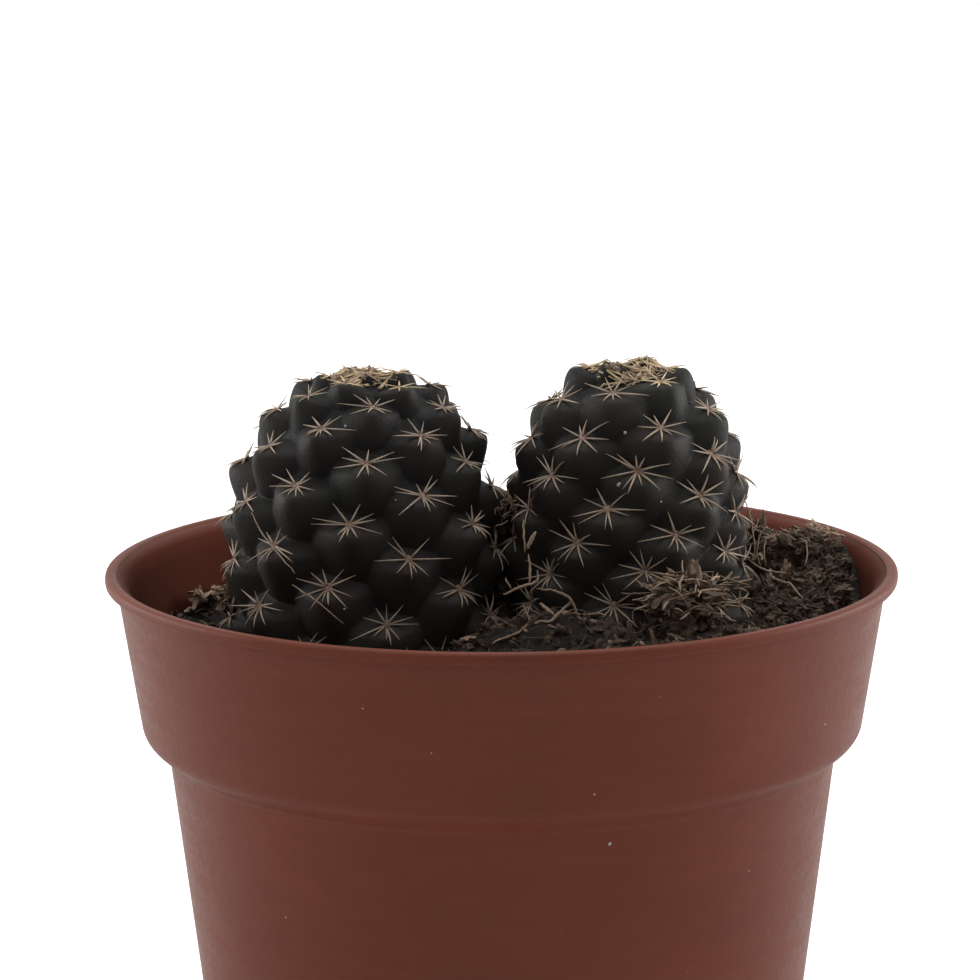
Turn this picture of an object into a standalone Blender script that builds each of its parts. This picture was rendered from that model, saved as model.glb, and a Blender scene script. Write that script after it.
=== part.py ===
"""Potted cactus: two globular, tubercled heads in a thin-walled plastic nursery pot.

Units are metres, +Z is up, and the front of the pot faces -Y. The origin is the middle of the
flat base. Run with blender --background --python part.py, or from Blender's text editor.
"""

import math
from dataclasses import dataclass

import bmesh
import bpy
from mathutils import Matrix, Vector, noise
from mathutils.bvhtree import BVHTree

MM = 0.001

# Pot: a rim lip, a deep collar, a rounded shoulder and a tapering body.
POT_HEIGHT = 68.0 * MM
RIM_RADIUS = 42.5 * MM
LIP_HEIGHT = 1.0 * MM
LIP_ROUND = 0.4 * MM
WALL = 1.0 * MM
FLOOR = 1.4 * MM
COLLAR_TOP_RADIUS = 41.3 * MM
COLLAR_FOOT_RADIUS = 39.0 * MM
COLLAR_HEIGHT = 18.6 * MM
SHOULDER_ROUND = 2.4 * MM
SHOULDER_SLOPE = math.radians(36.5)
BODY_TOP_RADIUS = 36.2 * MM
BASE_RADIUS = 30.6 * MM
BASE_ROUND = 1.2 * MM
RIM_BEVEL = 0.2 * MM
LIP_STEP = 0.25 * MM
POT_SEGMENTS = 56

# Clearances between neighbouring solids.
GAP = 0.3 * MM

# Soil: level on the left, heaped on the right and at the back.
SOIL_DROP = 9.0 * MM
SOIL_ROUGHNESS = 0.45 * MM
SOIL_LUMP_WIDTH = 5.0 * MM
SOIL_EDGE_MARGIN = 0.5 * MM
# Heaps as (x, y, spread, height).
SOIL_HEAPS = (
    (31.0 * MM, 19.0 * MM, 17.0 * MM, 5.4 * MM),
    (39.0 * MM, 11.0 * MM, 8.5 * MM, 4.2 * MM),
    (21.0 * MM, -17.0 * MM, 11.0 * MM, 4.4 * MM),
    (4.5 * MM, -11.5 * MM, 8.5 * MM, 5.2 * MM),
)
SOIL_RINGS = 9
SOIL_SEGMENTS = 44
SOCKET_TOP = 12.0 * MM
SOCKET_STEP = 0.1 * MM
SOCKET_GAP = 1.4 * GAP
SOCKET_ROWS = 10
SOCKET_SEGMENTS = 28

# Tubercles and areoles, shared by both heads.
CHIN_REACH = 3.0 * MM
CHIN_RISE = 1.4 * MM
CHIN_SHELF = 2.2 * MM
CHIN_FALL = 5.2 * MM
CHIN_HALF_WIDTH = 4.2 * MM
CHIN_BLUNT = 0.2
CHIN_POWER = 1.9
CHIN_LEVEL = 0.4
CHIN_TURN = 4.0
NARROWEST = 0.5 * MM
PRESSED_GAP = 0.45 * MM
PRESS_STEP = 0.01
ROOT_DEPTH = 13.0 * MM
ROOT_POWER = 1.6
FADE_DEPTH = 2.0 * MM
CROWN_DEPTH = 3.0 * MM
SLOPE_STEP = 0.2 * MM
SPIRAL_STEP = 0.05 * MM
BURIED_AREOLES = 1.0 * MM
STEM_SEGMENTS = 56
STEM_ROWS = 34

# Spines, one star of them on each areole.
AREOLE_RADIUS = 0.55 * MM
AREOLE_THICKNESS = 0.45 * MM
SPINES_PER_AREOLE = 8
SPINE_LENGTH = 2.5 * MM
CROWN_SPINES = 14
CROWN_RADIUS = 1.6 * MM
CROWN_SPINE_LENGTH = 2.2 * MM
STARS_PER_STEM = 22
CROWN_CLEAR = 4.8 * MM
AREOLE_UPTURN = 0.45
LIFT_STEP = 0.1 * MM
HIGHEST_LIFT = 3.0 * MM
RAISE_STEP = math.radians(5.0)
RAISE_STEPS = 18

# Loose lumps as (name, x, y, half sizes, seed, kind) and strands as (name, route of x and y,
# thickness); each is let down from LITTER_START until it lies on what is under it.
LITTER_START = POT_HEIGHT + 14.0 * MM
STRAND_DROP = 2.0 * MM
LUMP_ROUGHNESS = 0.28
LUMP_DETAIL = 1.7
STRAND_SIDES = 6
LUMPS = (
    ("peat_clump_front", 19.0 * MM, -14.8 * MM, (4.3 * MM, 2.8 * MM, 3.3 * MM), 3.1, "peat"),
    ("peat_clump_back", 27.0 * MM, 19.0 * MM, (4.6 * MM, 3.6 * MM, 1.7 * MM), 5.7, "peat"),
    ("peat_crumb_right", 33.6 * MM, 11.5 * MM, (2.2 * MM, 2.6 * MM, 1.3 * MM), 8.2, "peat"),
    ("bark_chip_left", -30.0 * MM, 16.0 * MM, (1.9 * MM, 1.4 * MM, 1.1 * MM), 1.4, "bark"),
)
STRANDS = (
    ("root_strand", ((29.0 * MM, 13.6 * MM), (29.3 * MM, 11.0 * MM), (29.8 * MM, 8.4 * MM),
                     (30.6 * MM, 6.4 * MM), (31.6 * MM, 4.6 * MM)), 0.5 * MM),
    ("dry_twig", ((-1.6 * MM, -16.2 * MM), (1.9 * MM, -15.0 * MM), (4.1 * MM, -14.0 * MM),
                  (6.4 * MM, -13.6 * MM)), 0.7 * MM),
)

# Colours (linear RGB).
POT_BROWN = (0.118, 0.039, 0.022)
SOIL_BROWN = (0.018, 0.012, 0.009)
SKIN_GREEN = (0.019, 0.021, 0.018)
SPINE_CREAM = (0.42, 0.31, 0.20)
BARK_TAN = (0.20, 0.12, 0.065)


@dataclass(frozen=True)
class Stem:
    """One head: a domed column that narrows to a root under the soil."""

    name: str
    x: float
    y: float
    top: float
    radius: float
    dome: float
    power: float
    lean: float
    turn: float
    twist: float
    start: float
    at_once: int
    patch: float
    crowding: float
    sink: float


LEFT = Stem("left_stem", x=-14.82 * MM, y=2.86 * MM, top=POT_HEIGHT + 20.50 * MM, radius=12.99 * MM,
            dome=18.67 * MM, power=1.94, lean=0.021, turn=math.radians(-149.30), twist=-45.5,
            start=5.352, at_once=1, patch=52.8 * MM * MM, crowding=24.55, sink=0.90 * MM)
RIGHT = Stem("right_stem", x=13.73 * MM, y=3.80 * MM, top=POT_HEIGHT + 20.57 * MM, radius=10.74 * MM,
             dome=18.48 * MM, power=2.14, lean=0.012, turn=math.radians(-48.60), twist=-2.6,
             start=5.416, at_once=2, patch=31.0 * MM * MM, crowding=3.75, sink=0.69 * MM)


def clear_scene():
    for item in list(bpy.data.objects):
        bpy.data.objects.remove(item)


def material(name, colour, roughness):
    """A plain Principled material."""
    made = bpy.data.materials.new(name)
    made.use_nodes = True
    shader = made.node_tree.nodes["Principled BSDF"]
    shader.inputs["Base Color"].default_value = (*colour, 1.0)
    shader.inputs["Roughness"].default_value = roughness
    shader.inputs["Metallic"].default_value = 0.0
    return made


def add_object(name, form, finish, smooth=True):
    """Turn a bmesh into a named object with one material."""
    mesh = bpy.data.meshes.new(name)
    bmesh.ops.recalc_face_normals(form, faces=form.faces)
    form.to_mesh(mesh)
    form.free()
    for polygon in mesh.polygons:
        polygon.use_smooth = smooth
    mesh.materials.append(finish)
    made = bpy.data.objects.new(name, mesh)
    bpy.context.scene.collection.objects.link(made)
    return made


def arc(centre, radius, start, end, steps):
    """Points on an arc in the profile plane, angles in radians from +X."""
    points = []
    for step in range(steps + 1):
        angle = start + (end - start) * step / steps
        points.append((centre[0] + radius * math.cos(angle), centre[1] + radius * math.sin(angle)))
    return points


# ---------------------------------------------------------------- pot

def collar_slope():
    """How much the collar's radius shrinks for each metre down."""
    return (COLLAR_TOP_RADIUS - COLLAR_FOOT_RADIUS) / (COLLAR_HEIGHT - LIP_HEIGHT)


def pot_outside():
    """The outer profile, from the lip's top down to the middle of the base."""
    lean = math.atan(collar_slope())
    foot = POT_HEIGHT - COLLAR_HEIGHT
    points = arc((RIM_RADIUS - LIP_ROUND, POT_HEIGHT - LIP_ROUND), LIP_ROUND, math.pi / 2, 0.0, 3)
    points.append((RIM_RADIUS, POT_HEIGHT - LIP_HEIGHT))
    points.append((COLLAR_TOP_RADIUS, POT_HEIGHT - LIP_HEIGHT - LIP_STEP))
    round_centre = (COLLAR_FOOT_RADIUS - SHOULDER_ROUND, foot + SHOULDER_ROUND)
    shoulder_angle = -(math.pi / 2 - SHOULDER_SLOPE)
    points += arc(round_centre, SHOULDER_ROUND, -lean, shoulder_angle, 4)
    last = points[-1]
    run = last[0] - BODY_TOP_RADIUS
    points.append((BODY_TOP_RADIUS, last[1] - run * math.tan(SHOULDER_SLOPE)))
    points += arc((BASE_RADIUS - BASE_ROUND, BASE_ROUND), BASE_ROUND, 0.0, -math.pi / 2, 3)
    points.append((0.0, 0.0))
    return points


def inset_profile(points, inward):
    """The same run of points moved towards the axis and into the wall by a distance."""
    moved = []
    for index, point in enumerate(points):
        before = Vector(points[max(index - 1, 0)])
        after = Vector(points[min(index + 1, len(points) - 1)])
        along = (after - before).normalized()
        moved.append((point[0] + along.y * inward, point[1] - along.x * inward))
    return moved


def pot_inside(extra=0.0):
    """The inner profile from the floor's middle up to the rim; extra moves it further in."""
    wall = [point for point in pot_outside() if 2.0 * BASE_ROUND < point[1] < POT_HEIGHT - LIP_HEIGHT]
    inner = inset_profile(wall, WALL + extra)
    floor_radius = BASE_RADIUS - WALL - extra
    points = [(0.0, FLOOR + extra), (floor_radius - BASE_ROUND, FLOOR + extra)]
    points.append((floor_radius, FLOOR + extra + BASE_ROUND))
    points += reversed(inner)
    return points


def make_pot(finish):
    profile = pot_inside()
    profile.append((RIM_RADIUS - WALL - 1.5 * RIM_BEVEL, POT_HEIGHT - RIM_BEVEL))
    profile.append((RIM_RADIUS - WALL - 0.5 * RIM_BEVEL, POT_HEIGHT))
    profile += pot_outside()
    mesh = bpy.data.meshes.new("pot")
    edges = [(index, index + 1) for index in range(len(profile) - 1)]
    mesh.from_pydata([(radius, 0.0, height) for radius, height in profile], edges, [])
    mesh.materials.append(finish)
    pot = bpy.data.objects.new("pot", mesh)
    bpy.context.scene.collection.objects.link(pot)
    screw = pot.modifiers.new("lathe", "SCREW")
    screw.axis = "Z"
    screw.steps = POT_SEGMENTS
    screw.render_steps = POT_SEGMENTS
    screw.use_merge_vertices = True
    screw.merge_threshold = 0.00001
    screw.use_smooth_shade = True
    return pot


# ---------------------------------------------------------------- soil

def soil_height(x, y):
    """Height of the soil's surface over the base: level, with rounded heaps and low lumps."""
    level = POT_HEIGHT - SOIL_DROP
    for heap_x, heap_y, spread, height in SOIL_HEAPS:
        distance = math.hypot(x - heap_x, y - heap_y) / spread
        level += height * math.exp(-distance * distance)
    return level + SOIL_ROUGHNESS * noise.noise(Vector((x, y, 0.0)) / SOIL_LUMP_WIDTH)


def interpolate_radius(points, height):
    """Radius of an upward profile at a height."""
    for low, high in zip(points, points[1:]):
        if low[1] <= height <= high[1] and high[1] > low[1]:
            share = (height - low[1]) / (high[1] - low[1])
            return low[0] + share * (high[0] - low[0])
    return points[-1][0]


def make_soil(finish):
    """Soil fills the pot; its side follows the wall and its top is the heaped surface."""
    wall = pot_inside(GAP)
    form = bmesh.new()
    lowest = POT_HEIGHT - SOIL_DROP - SOIL_ROUGHNESS - SOIL_EDGE_MARGIN
    side = [point for point in wall[1:] if point[1] < lowest]
    rings = []
    for radius, height in side:
        rings.append([(radius, height)] * SOIL_SEGMENTS)
    edge = []
    for index in range(SOIL_SEGMENTS):
        angle = 2 * math.pi * index / SOIL_SEGMENTS
        guess = interpolate_radius(wall, lowest)
        height = soil_height(guess * math.cos(angle), guess * math.sin(angle))
        edge.append((interpolate_radius(wall, height), height))
    rings.append(edge)
    for ring in range(SOIL_RINGS - 1, 0, -1):
        inner = []
        for index in range(SOIL_SEGMENTS):
            angle = 2 * math.pi * index / SOIL_SEGMENTS
            radius = edge[index][0] * ring / SOIL_RINGS
            inner.append((radius, soil_height(radius * math.cos(angle), radius * math.sin(angle))))
        rings.append(inner)
    rows = []
    for ring in rings:
        row = []
        for index, (radius, height) in enumerate(ring):
            angle = 2 * math.pi * index / SOIL_SEGMENTS
            row.append(form.verts.new((radius * math.cos(angle), radius * math.sin(angle), height)))
        rows.append(row)
    bottom = form.verts.new((0.0, 0.0, wall[0][1]))
    top = form.verts.new((0.0, 0.0, soil_height(0.0, 0.0)))
    join_rows(form, rows, bottom, top)
    soil = add_object("potting_soil", form, finish)
    for stem in (LEFT, RIGHT):
        cutter = make_socket_cutter(stem)
        cut = soil.modifiers.new("socket_" + stem.name, "BOOLEAN")
        cut.operation = "DIFFERENCE"
        cut.solver = "EXACT"
        cut.object = cutter
    return soil


def join_rows(form, rows, first_pole, last_pole):
    """Skin a stack of equal rings and close both ends on a pole."""
    count = len(rows[0])
    for index in range(count):
        following = (index + 1) % count
        form.faces.new((first_pole, rows[0][following], rows[0][index]))
        form.faces.new((last_pole, rows[-1][index], rows[-1][following]))
        for low, high in zip(rows, rows[1:]):
            form.faces.new((low[index], low[following], high[following], high[index]))


def make_socket_cutter(stem):
    """The space that a stem's buried base takes in the soil, with the clearance round it."""
    surface = soil_depth(stem)
    form = bmesh.new()
    rows = []
    levels = [(surface - SOCKET_TOP, CHIN_REACH), (surface + SOCKET_STEP, CHIN_REACH)]
    for step in range(SOCKET_ROWS):
        share = math.sin(0.5 * math.pi * (step + 0.5) / SOCKET_ROWS)
        levels.append((surface + ROOT_DEPTH * share, 0.0))
    for depth, spare in levels:
        centre = stem_axis(stem, depth + SOCKET_GAP)
        radius = base_radius(stem, depth) + spare + SOCKET_GAP
        row = []
        for index in range(SOCKET_SEGMENTS):
            angle = 2 * math.pi * index / SOCKET_SEGMENTS
            row.append(form.verts.new(centre + Vector((math.cos(angle), math.sin(angle), 0)) * radius))
        rows.append(row)
    top = form.verts.new(stem_axis(stem, levels[0][0] - SOCKET_STEP))
    bottom = form.verts.new(stem_axis(stem, root_depth(stem) + 2 * GAP))
    join_rows(form, rows, top, bottom)
    cutter = add_object(stem.name + "_socket", form, bpy.data.materials["soil"])
    cutter.hide_render = True
    cutter.hide_set(True)
    cutter.display_type = "WIRE"
    return cutter


# ---------------------------------------------------------------- stems

def soil_depth(stem):
    """Depth of the level soil under a stem's top."""
    return stem.top - (POT_HEIGHT - SOIL_DROP)


def root_depth(stem):
    """Depth of the root's tip under a stem's top."""
    return soil_depth(stem) + ROOT_DEPTH


def stem_axis(stem, depth):
    """Middle of the stem at a depth under its top."""
    shift = stem.lean * (0.5 * soil_depth(stem) - depth)
    crown = max(0.0, 1.0 - depth / CROWN_DEPTH)
    return Vector((stem.x + shift, stem.y, stem.top - depth - stem.sink * crown * crown))


def base_radius(stem, depth):
    """Radius between the tubercles: a dome, a column, and a rounded root under the soil."""
    up = max(0.0, 1.0 - depth / stem.dome)
    radius = stem.radius * (1.0 - up ** stem.power) ** (1.0 / stem.power)
    buried = (depth - soil_depth(stem)) / ROOT_DEPTH
    if buried > 0.0:
        radius *= math.sqrt(max(0.0, 1.0 - min(1.0, buried) ** ROOT_POWER))
    return radius


def outward_tilt(stem, depth):
    """How far the skin's outward way points up at a depth."""
    rise = base_radius(stem, depth + SLOPE_STEP) - base_radius(stem, depth)
    return math.atan2(rise, SLOPE_STEP)


def chin_tilt(stem, depth):
    """How far the tubercles point up at a depth: nearly level, but straight up at the crown."""
    tilt = outward_tilt(stem, depth)
    return tilt * (CHIN_LEVEL + (1.0 - CHIN_LEVEL) * (tilt / (0.5 * math.pi)) ** CHIN_TURN)


def areoles(stem):
    """Areoles spiral down from the crown, each with an equal patch of skin once past it.

    Each is (angle from the front, depth, distance along the skin from the top, size).
    """
    found = []
    depth = 0.0
    along = 0.0
    area = 0.0
    radius = base_radius(stem, 0.0)
    rank = 0
    while depth < soil_depth(stem) + BURIED_AREOLES:
        spirals = (rank + 0.5) * stem.at_once
        grown = 1.0 - math.exp(-spirals / stem.crowding)
        needed = stem.patch * (spirals - stem.crowding * grown)
        while area < needed:
            depth += SPIRAL_STEP
            wider = base_radius(stem, depth)
            slope = math.hypot(SPIRAL_STEP, wider - radius)
            along += slope
            area += math.pi * (wider + radius) * slope
            radius = wider
        for twin in range(stem.at_once):
            angle = stem.start + stem.turn * rank + 2 * math.pi * twin / stem.at_once
            angle += stem.twist * depth
            found.append((angle, depth, along, math.sqrt(grown)))
        rank += 1
    return found


def chin(across, below, size):
    """Height of one tubercle, 0 to 1: a broad blunt chin that juts out under its areole."""
    down = below - CHIN_RISE * size
    length = (CHIN_SHELF if down < 0.0 else CHIN_FALL) * size
    side = abs(across) / (CHIN_HALF_WIDTH * size)
    distance = (side ** CHIN_POWER + (abs(down) / length) ** CHIN_POWER) ** (1 / CHIN_POWER)
    return max(0.0, 1.0 + CHIN_BLUNT - math.hypot(distance, CHIN_BLUNT))


def wrapped(angle):
    """An angle between -pi and pi."""
    return (angle + math.pi) % (2 * math.pi) - math.pi


def skin_point(stem, spots, angle, depth, along):
    """A point of the tubercled skin; the tubercles fade out at the soil."""
    radius = base_radius(stem, depth)
    tilt = chin_tilt(stem, depth)
    height = 0.0
    for spot_angle, _, spot_along, size in spots:
        across = wrapped(angle - spot_angle) * max(radius, NARROWEST)
        height = max(height, size * chin(across, along - spot_along, size))
    faded = (depth - soil_depth(stem)) / FADE_DEPTH + 1.0
    reach = CHIN_REACH * height * (1.0 - min(1.0, max(0.0, faded)))
    around = Vector((math.sin(angle), -math.cos(angle), 0.0))
    outward = around * math.cos(tilt) + Vector((0.0, 0.0, 1.0)) * math.sin(tilt)
    return stem_axis(stem, depth) + around * radius + outward * reach


def make_stem(stem, finish):
    """One grown body, from the crown to the tip of its root."""
    spots = areoles(stem)
    form = bmesh.new()
    rows = []
    total = root_depth(stem)
    depths = [total * (1 - math.cos(math.pi * (row + 0.6) / (STEM_ROWS + 0.2))) / 2
              for row in range(STEM_ROWS)]
    along = 0.0
    last_depth = 0.0
    last_radius = 0.0
    for depth in depths:
        radius = base_radius(stem, depth)
        along += math.hypot(depth - last_depth, radius - last_radius)
        last_depth, last_radius = depth, radius
        row = []
        for index in range(STEM_SEGMENTS):
            angle = 2 * math.pi * index / STEM_SEGMENTS
            row.append(form.verts.new(skin_point(stem, spots, angle, depth, along)))
        rows.append(row)
    top = form.verts.new(stem_axis(stem, 0.0))
    tip = form.verts.new(stem_axis(stem, total))
    join_rows(form, rows, top, tip)
    return add_object(stem.name, form, finish)


def press_back(stem, body, neighbour):
    """Flatten a body where it grows against its neighbour, leaving a narrow gap."""
    tree = tree_of([neighbour])
    for vertex in body.data.vertices:
        start = Vector((stem.x, stem.y, vertex.co.z))
        way = vertex.co - start
        share = 1.0
        while clearance(tree, start + way * share) < PRESSED_GAP:
            share -= PRESS_STEP
        vertex.co = start + way * share


# ---------------------------------------------------------------- spines

def tree_of(objects):
    """One search tree over the evaluated meshes of several objects."""
    graph = bpy.context.evaluated_depsgraph_get()
    points = []
    faces = []
    for item in objects:
        mesh = item.evaluated_get(graph).to_mesh()
        first = len(points)
        points += [item.matrix_world @ vertex.co for vertex in mesh.vertices]
        faces += [[first + vertex for vertex in polygon.vertices] for polygon in mesh.polygons]
    return BVHTree.FromPolygons(points, faces)


def clearance(tree, point):
    """Distance from a point to the nearest surface, negative inside it."""
    place, normal, _, distance = tree.find_nearest(point)
    return distance if (point - place).dot(normal) > 0.0 else -distance


def spine_star(name, seat, outward, spines, radius, length, tree, finish):
    """A small areole pad whose sides are drawn out into spines that clear the skin."""
    form = bmesh.new()
    turn = outward.to_track_quat("Z", "Y").to_matrix().to_4x4()
    lift = 0.0
    pad = []
    while lift < HIGHEST_LIFT:
        lift += LIFT_STEP
        place = Matrix.Translation(seat + outward * lift) @ turn
        pad = [place @ Vector((radius * math.cos(step), radius * math.sin(step), 0.0))
               for step in (2 * math.pi * index / spines for index in range(spines))]
        if min(clearance(tree, point) for point in pad) > GAP:
            break
    low = [form.verts.new(point) for point in pad]
    high = [form.verts.new(point + outward * AREOLE_THICKNESS) for point in pad]
    form.faces.new(low[::-1])
    form.faces.new(high)
    for index in range(spines):
        following = (index + 1) % spines
        corners = (low[index], low[following], high[following], high[index])
        middle = sum((corner.co for corner in corners), Vector()) / 4
        away = (middle - place.translation).normalized()
        tip = spine_tip(tree, middle, away, outward, length)
        point = form.verts.new(tip)
        for start, end in zip(corners, corners[1:] + corners[:1]):
            form.faces.new((start, end, point))
    return add_object(name, form, finish, smooth=False)


def spine_tip(tree, middle, away, outward, length):
    """Raise a spine from the skin until all of it is clear."""
    direction = away
    for step in range(RAISE_STEPS):
        angle = RAISE_STEP * step
        direction = away * math.cos(angle) + outward * math.sin(angle)
        samples = (middle + direction * length * share for share in (0.25, 0.5, 0.75, 1.0))
        if min(clearance(tree, point) for point in samples) > GAP:
            break
    return middle + direction * length


def make_spines(stem, body, others, finish):
    """A crown tuft and the stars below it, spiralling down one stem."""
    crown = spine_star(stem.name + "_crown_spines", stem_axis(stem, 0.0), Vector((0, 0, 1)),
                       CROWN_SPINES, CROWN_RADIUS, CROWN_SPINE_LENGTH, tree_of([body]), finish)
    placed = [crown]
    spots = areoles(stem)
    below_crown = [spot for spot in spots if spot[2] > CROWN_CLEAR]
    for count, (angle, depth, along, size) in enumerate(below_crown[:STARS_PER_STEM]):
        around = Vector((math.sin(angle), -math.cos(angle), 0.0))
        tilt = outward_tilt(stem, depth)
        outward = around * math.cos(tilt) + Vector((0, 0, 1)) * (math.sin(tilt) + AREOLE_UPTURN)
        outward.normalize()
        seat = skin_point(stem, spots, angle, depth, along)
        name = f"{stem.name}_spines_{count + 1:02d}"
        tree = tree_of([body] + others + placed)
        placed.append(spine_star(name, seat, outward, SPINES_PER_AREOLE, AREOLE_RADIUS,
                                 SPINE_LENGTH * size, tree, finish))
    return placed


# ---------------------------------------------------------------- loose pieces on the soil

def settle(points, tree):
    """How far a loose piece drops until it lies just above what is under it."""
    drops = []
    for point in points:
        hit = tree.ray_cast(point, Vector((0, 0, -1)))
        if hit[0] is not None:
            drops.append(hit[3])
    return min(drops) - 1.2 * GAP


def make_lump(name, place, size, seed, tree, finish):
    """A rough crumb of peat or bark, let down on what is under it."""
    form = bmesh.new()
    bmesh.ops.create_icosphere(form, subdivisions=2, radius=1.0)
    offset = Vector((seed, 2.0 * seed, 3.0 * seed))
    for vertex in form.verts:
        stretch = 1.0 + LUMP_ROUGHNESS * noise.noise(vertex.co * LUMP_DETAIL + offset)
        vertex.co = Vector(part * half for part, half in zip(vertex.co, size)) * stretch
        vertex.co += Vector(place)
    drop = settle([vertex.co for vertex in form.verts], tree)
    bmesh.ops.translate(form, verts=form.verts, vec=(0.0, 0.0, -drop))
    return add_object(name, form, finish)


def make_strand(name, route, thickness, tree, finish):
    """A dry root or twig that lies on the soil: a thin tube with tapering ends."""
    form = bmesh.new()
    rows = []
    for index, place in enumerate(route):
        here = Vector(place)
        before = Vector(route[max(index - 1, 0)])
        after = Vector(route[min(index + 1, len(route) - 1)])
        frame = (after - before).to_track_quat("Z", "Y")
        row = []
        for side in range(STRAND_SIDES):
            angle = 2 * math.pi * side / STRAND_SIDES
            offset = Vector((math.cos(angle), math.sin(angle), 0.0)) * thickness / 2
            row.append(form.verts.new(here + frame @ offset))
        rows.append(row)
    ahead = (Vector(route[-1]) - Vector(route[-2])).normalized() * thickness
    behind = (Vector(route[0]) - Vector(route[1])).normalized() * thickness
    start = form.verts.new(Vector(route[0]) + behind)
    end = form.verts.new(Vector(route[-1]) + ahead)
    join_rows(form, rows, start, end)
    drop = settle([vertex.co for vertex in form.verts], tree)
    bmesh.ops.translate(form, verts=form.verts, vec=(0.0, 0.0, -drop))
    return add_object(name, form, finish)


def draped(route, tree):
    """A route of (x, y) carried up to just over what lies under it."""
    places = []
    for x, y in route:
        under = tree.ray_cast(Vector((x, y, LITTER_START)), Vector((0, 0, -1)))[0]
        places.append(under + Vector((0.0, 0.0, STRAND_DROP)))
    return places


def make_litter(soil, others, finishes):
    """Crumbs of peat, a bark chip and dry strands on the soil."""
    placed = [soil] + others
    for name, x, y, size, seed, kind in LUMPS:
        placed.append(make_lump(name, (x, y, LITTER_START), size, seed, tree_of(placed), finishes[kind]))
    for name, route, thickness in STRANDS:
        tree = tree_of(placed)
        placed.append(make_strand(name, draped(route, tree), thickness, tree, finishes["bark"]))


def main():
    clear_scene()
    plastic = material("pot_plastic", POT_BROWN, 0.5)
    peat = material("soil", SOIL_BROWN, 0.95)
    skin = material("cactus_skin", SKIN_GREEN, 0.7)
    spine = material("spine", SPINE_CREAM, 0.6)
    bark = material("bark", BARK_TAN, 0.9)
    make_pot(plastic)
    soil = make_soil(peat)
    left = make_stem(LEFT, skin)
    right = make_stem(RIGHT, skin)
    press_back(RIGHT, right, left)
    stars = make_spines(LEFT, left, [right], spine)
    stars += make_spines(RIGHT, right, [left, *stars], spine)
    make_litter(soil, [left, right, *stars], {"peat": peat, "bark": bark})


main()
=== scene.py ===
"""Looks for the potted cactus: pot, soil, two spiny heads and the litter round them.

Everything is in metres, in the CAD model's frame: the origin is the middle of the pot's base,
+Z is up and the front faces -Y. Depths on a head are measured down from its top.
"""

import math
import random
from dataclasses import dataclass

import bmesh
import bpy
import numpy as np
from mathutils import Matrix, Quaternion, Vector, noise
from mathutils.bvhtree import BVHTree


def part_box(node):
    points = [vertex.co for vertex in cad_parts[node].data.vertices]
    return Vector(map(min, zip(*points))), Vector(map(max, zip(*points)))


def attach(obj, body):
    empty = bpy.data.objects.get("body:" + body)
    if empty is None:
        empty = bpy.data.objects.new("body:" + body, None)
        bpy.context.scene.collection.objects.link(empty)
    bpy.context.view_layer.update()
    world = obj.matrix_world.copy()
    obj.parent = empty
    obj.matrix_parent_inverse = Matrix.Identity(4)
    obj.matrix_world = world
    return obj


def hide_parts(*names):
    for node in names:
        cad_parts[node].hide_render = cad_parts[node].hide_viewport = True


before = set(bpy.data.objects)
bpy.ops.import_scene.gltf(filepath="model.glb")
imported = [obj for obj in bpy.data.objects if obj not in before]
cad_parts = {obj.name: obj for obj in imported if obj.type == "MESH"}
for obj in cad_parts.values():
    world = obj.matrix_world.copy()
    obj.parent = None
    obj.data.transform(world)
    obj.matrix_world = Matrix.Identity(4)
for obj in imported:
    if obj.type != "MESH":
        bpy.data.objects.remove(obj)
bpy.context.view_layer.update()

MM = 0.001
UP = Vector((0, 0, 1))
POT_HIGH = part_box("pot")[1]
POT_HEIGHT = POT_HIGH.z
RIM_RADIUS = POT_HIGH.x
SOIL_LEVEL = POT_HEIGHT - 9.0 * MM


# ---------------- mesh helpers

def polar(radius, angle):
    return radius * math.cos(angle), radius * math.sin(angle)


def full_turn(count):
    """Evenly spaced angles of a full turn."""
    return [2 * math.pi * number / count for number in range(count)]


def add_object(name, data):
    made = bpy.data.objects.new(name, data)
    bpy.context.scene.collection.objects.link(made)
    return made


def make_object(name, points, faces, finish, smooth=True, values=None):
    """A mesh object from plain lists, with named per-point values for its material."""
    mesh = bpy.data.meshes.new(name)
    mesh.from_pydata(points, [], faces)
    mesh.polygons.foreach_set("use_smooth", [smooth] * len(mesh.polygons))
    for key, numbers in (values or {}).items():
        attribute = mesh.attributes.new(key, "FLOAT", "POINT")
        attribute.data.foreach_set("value", np.asarray(numbers, np.float32))
    mesh.materials.append(finish)
    mesh.update()
    return add_object(name, mesh)


def closed_grid(rows, columns):
    """Faces of a grid that wraps round in its columns and closes on two points after its own.

    The first of these points lies past the first row and the second past the last row.
    """
    row, column = np.meshgrid(np.arange(rows - 1), np.arange(columns), indexing="ij")
    following = (column + 1) % columns
    corners = (row * columns + column, (row + 1) * columns + column,
               (row + 1) * columns + following, row * columns + following)
    faces = np.stack(corners, -1).reshape(-1, 4).tolist()
    first = rows * columns
    end = first - columns
    for index in range(columns):
        following = (index + 1) % columns
        faces.append([first, index, following])
        faces.append([first + 1, end + following, end + index])
    return faces


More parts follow.
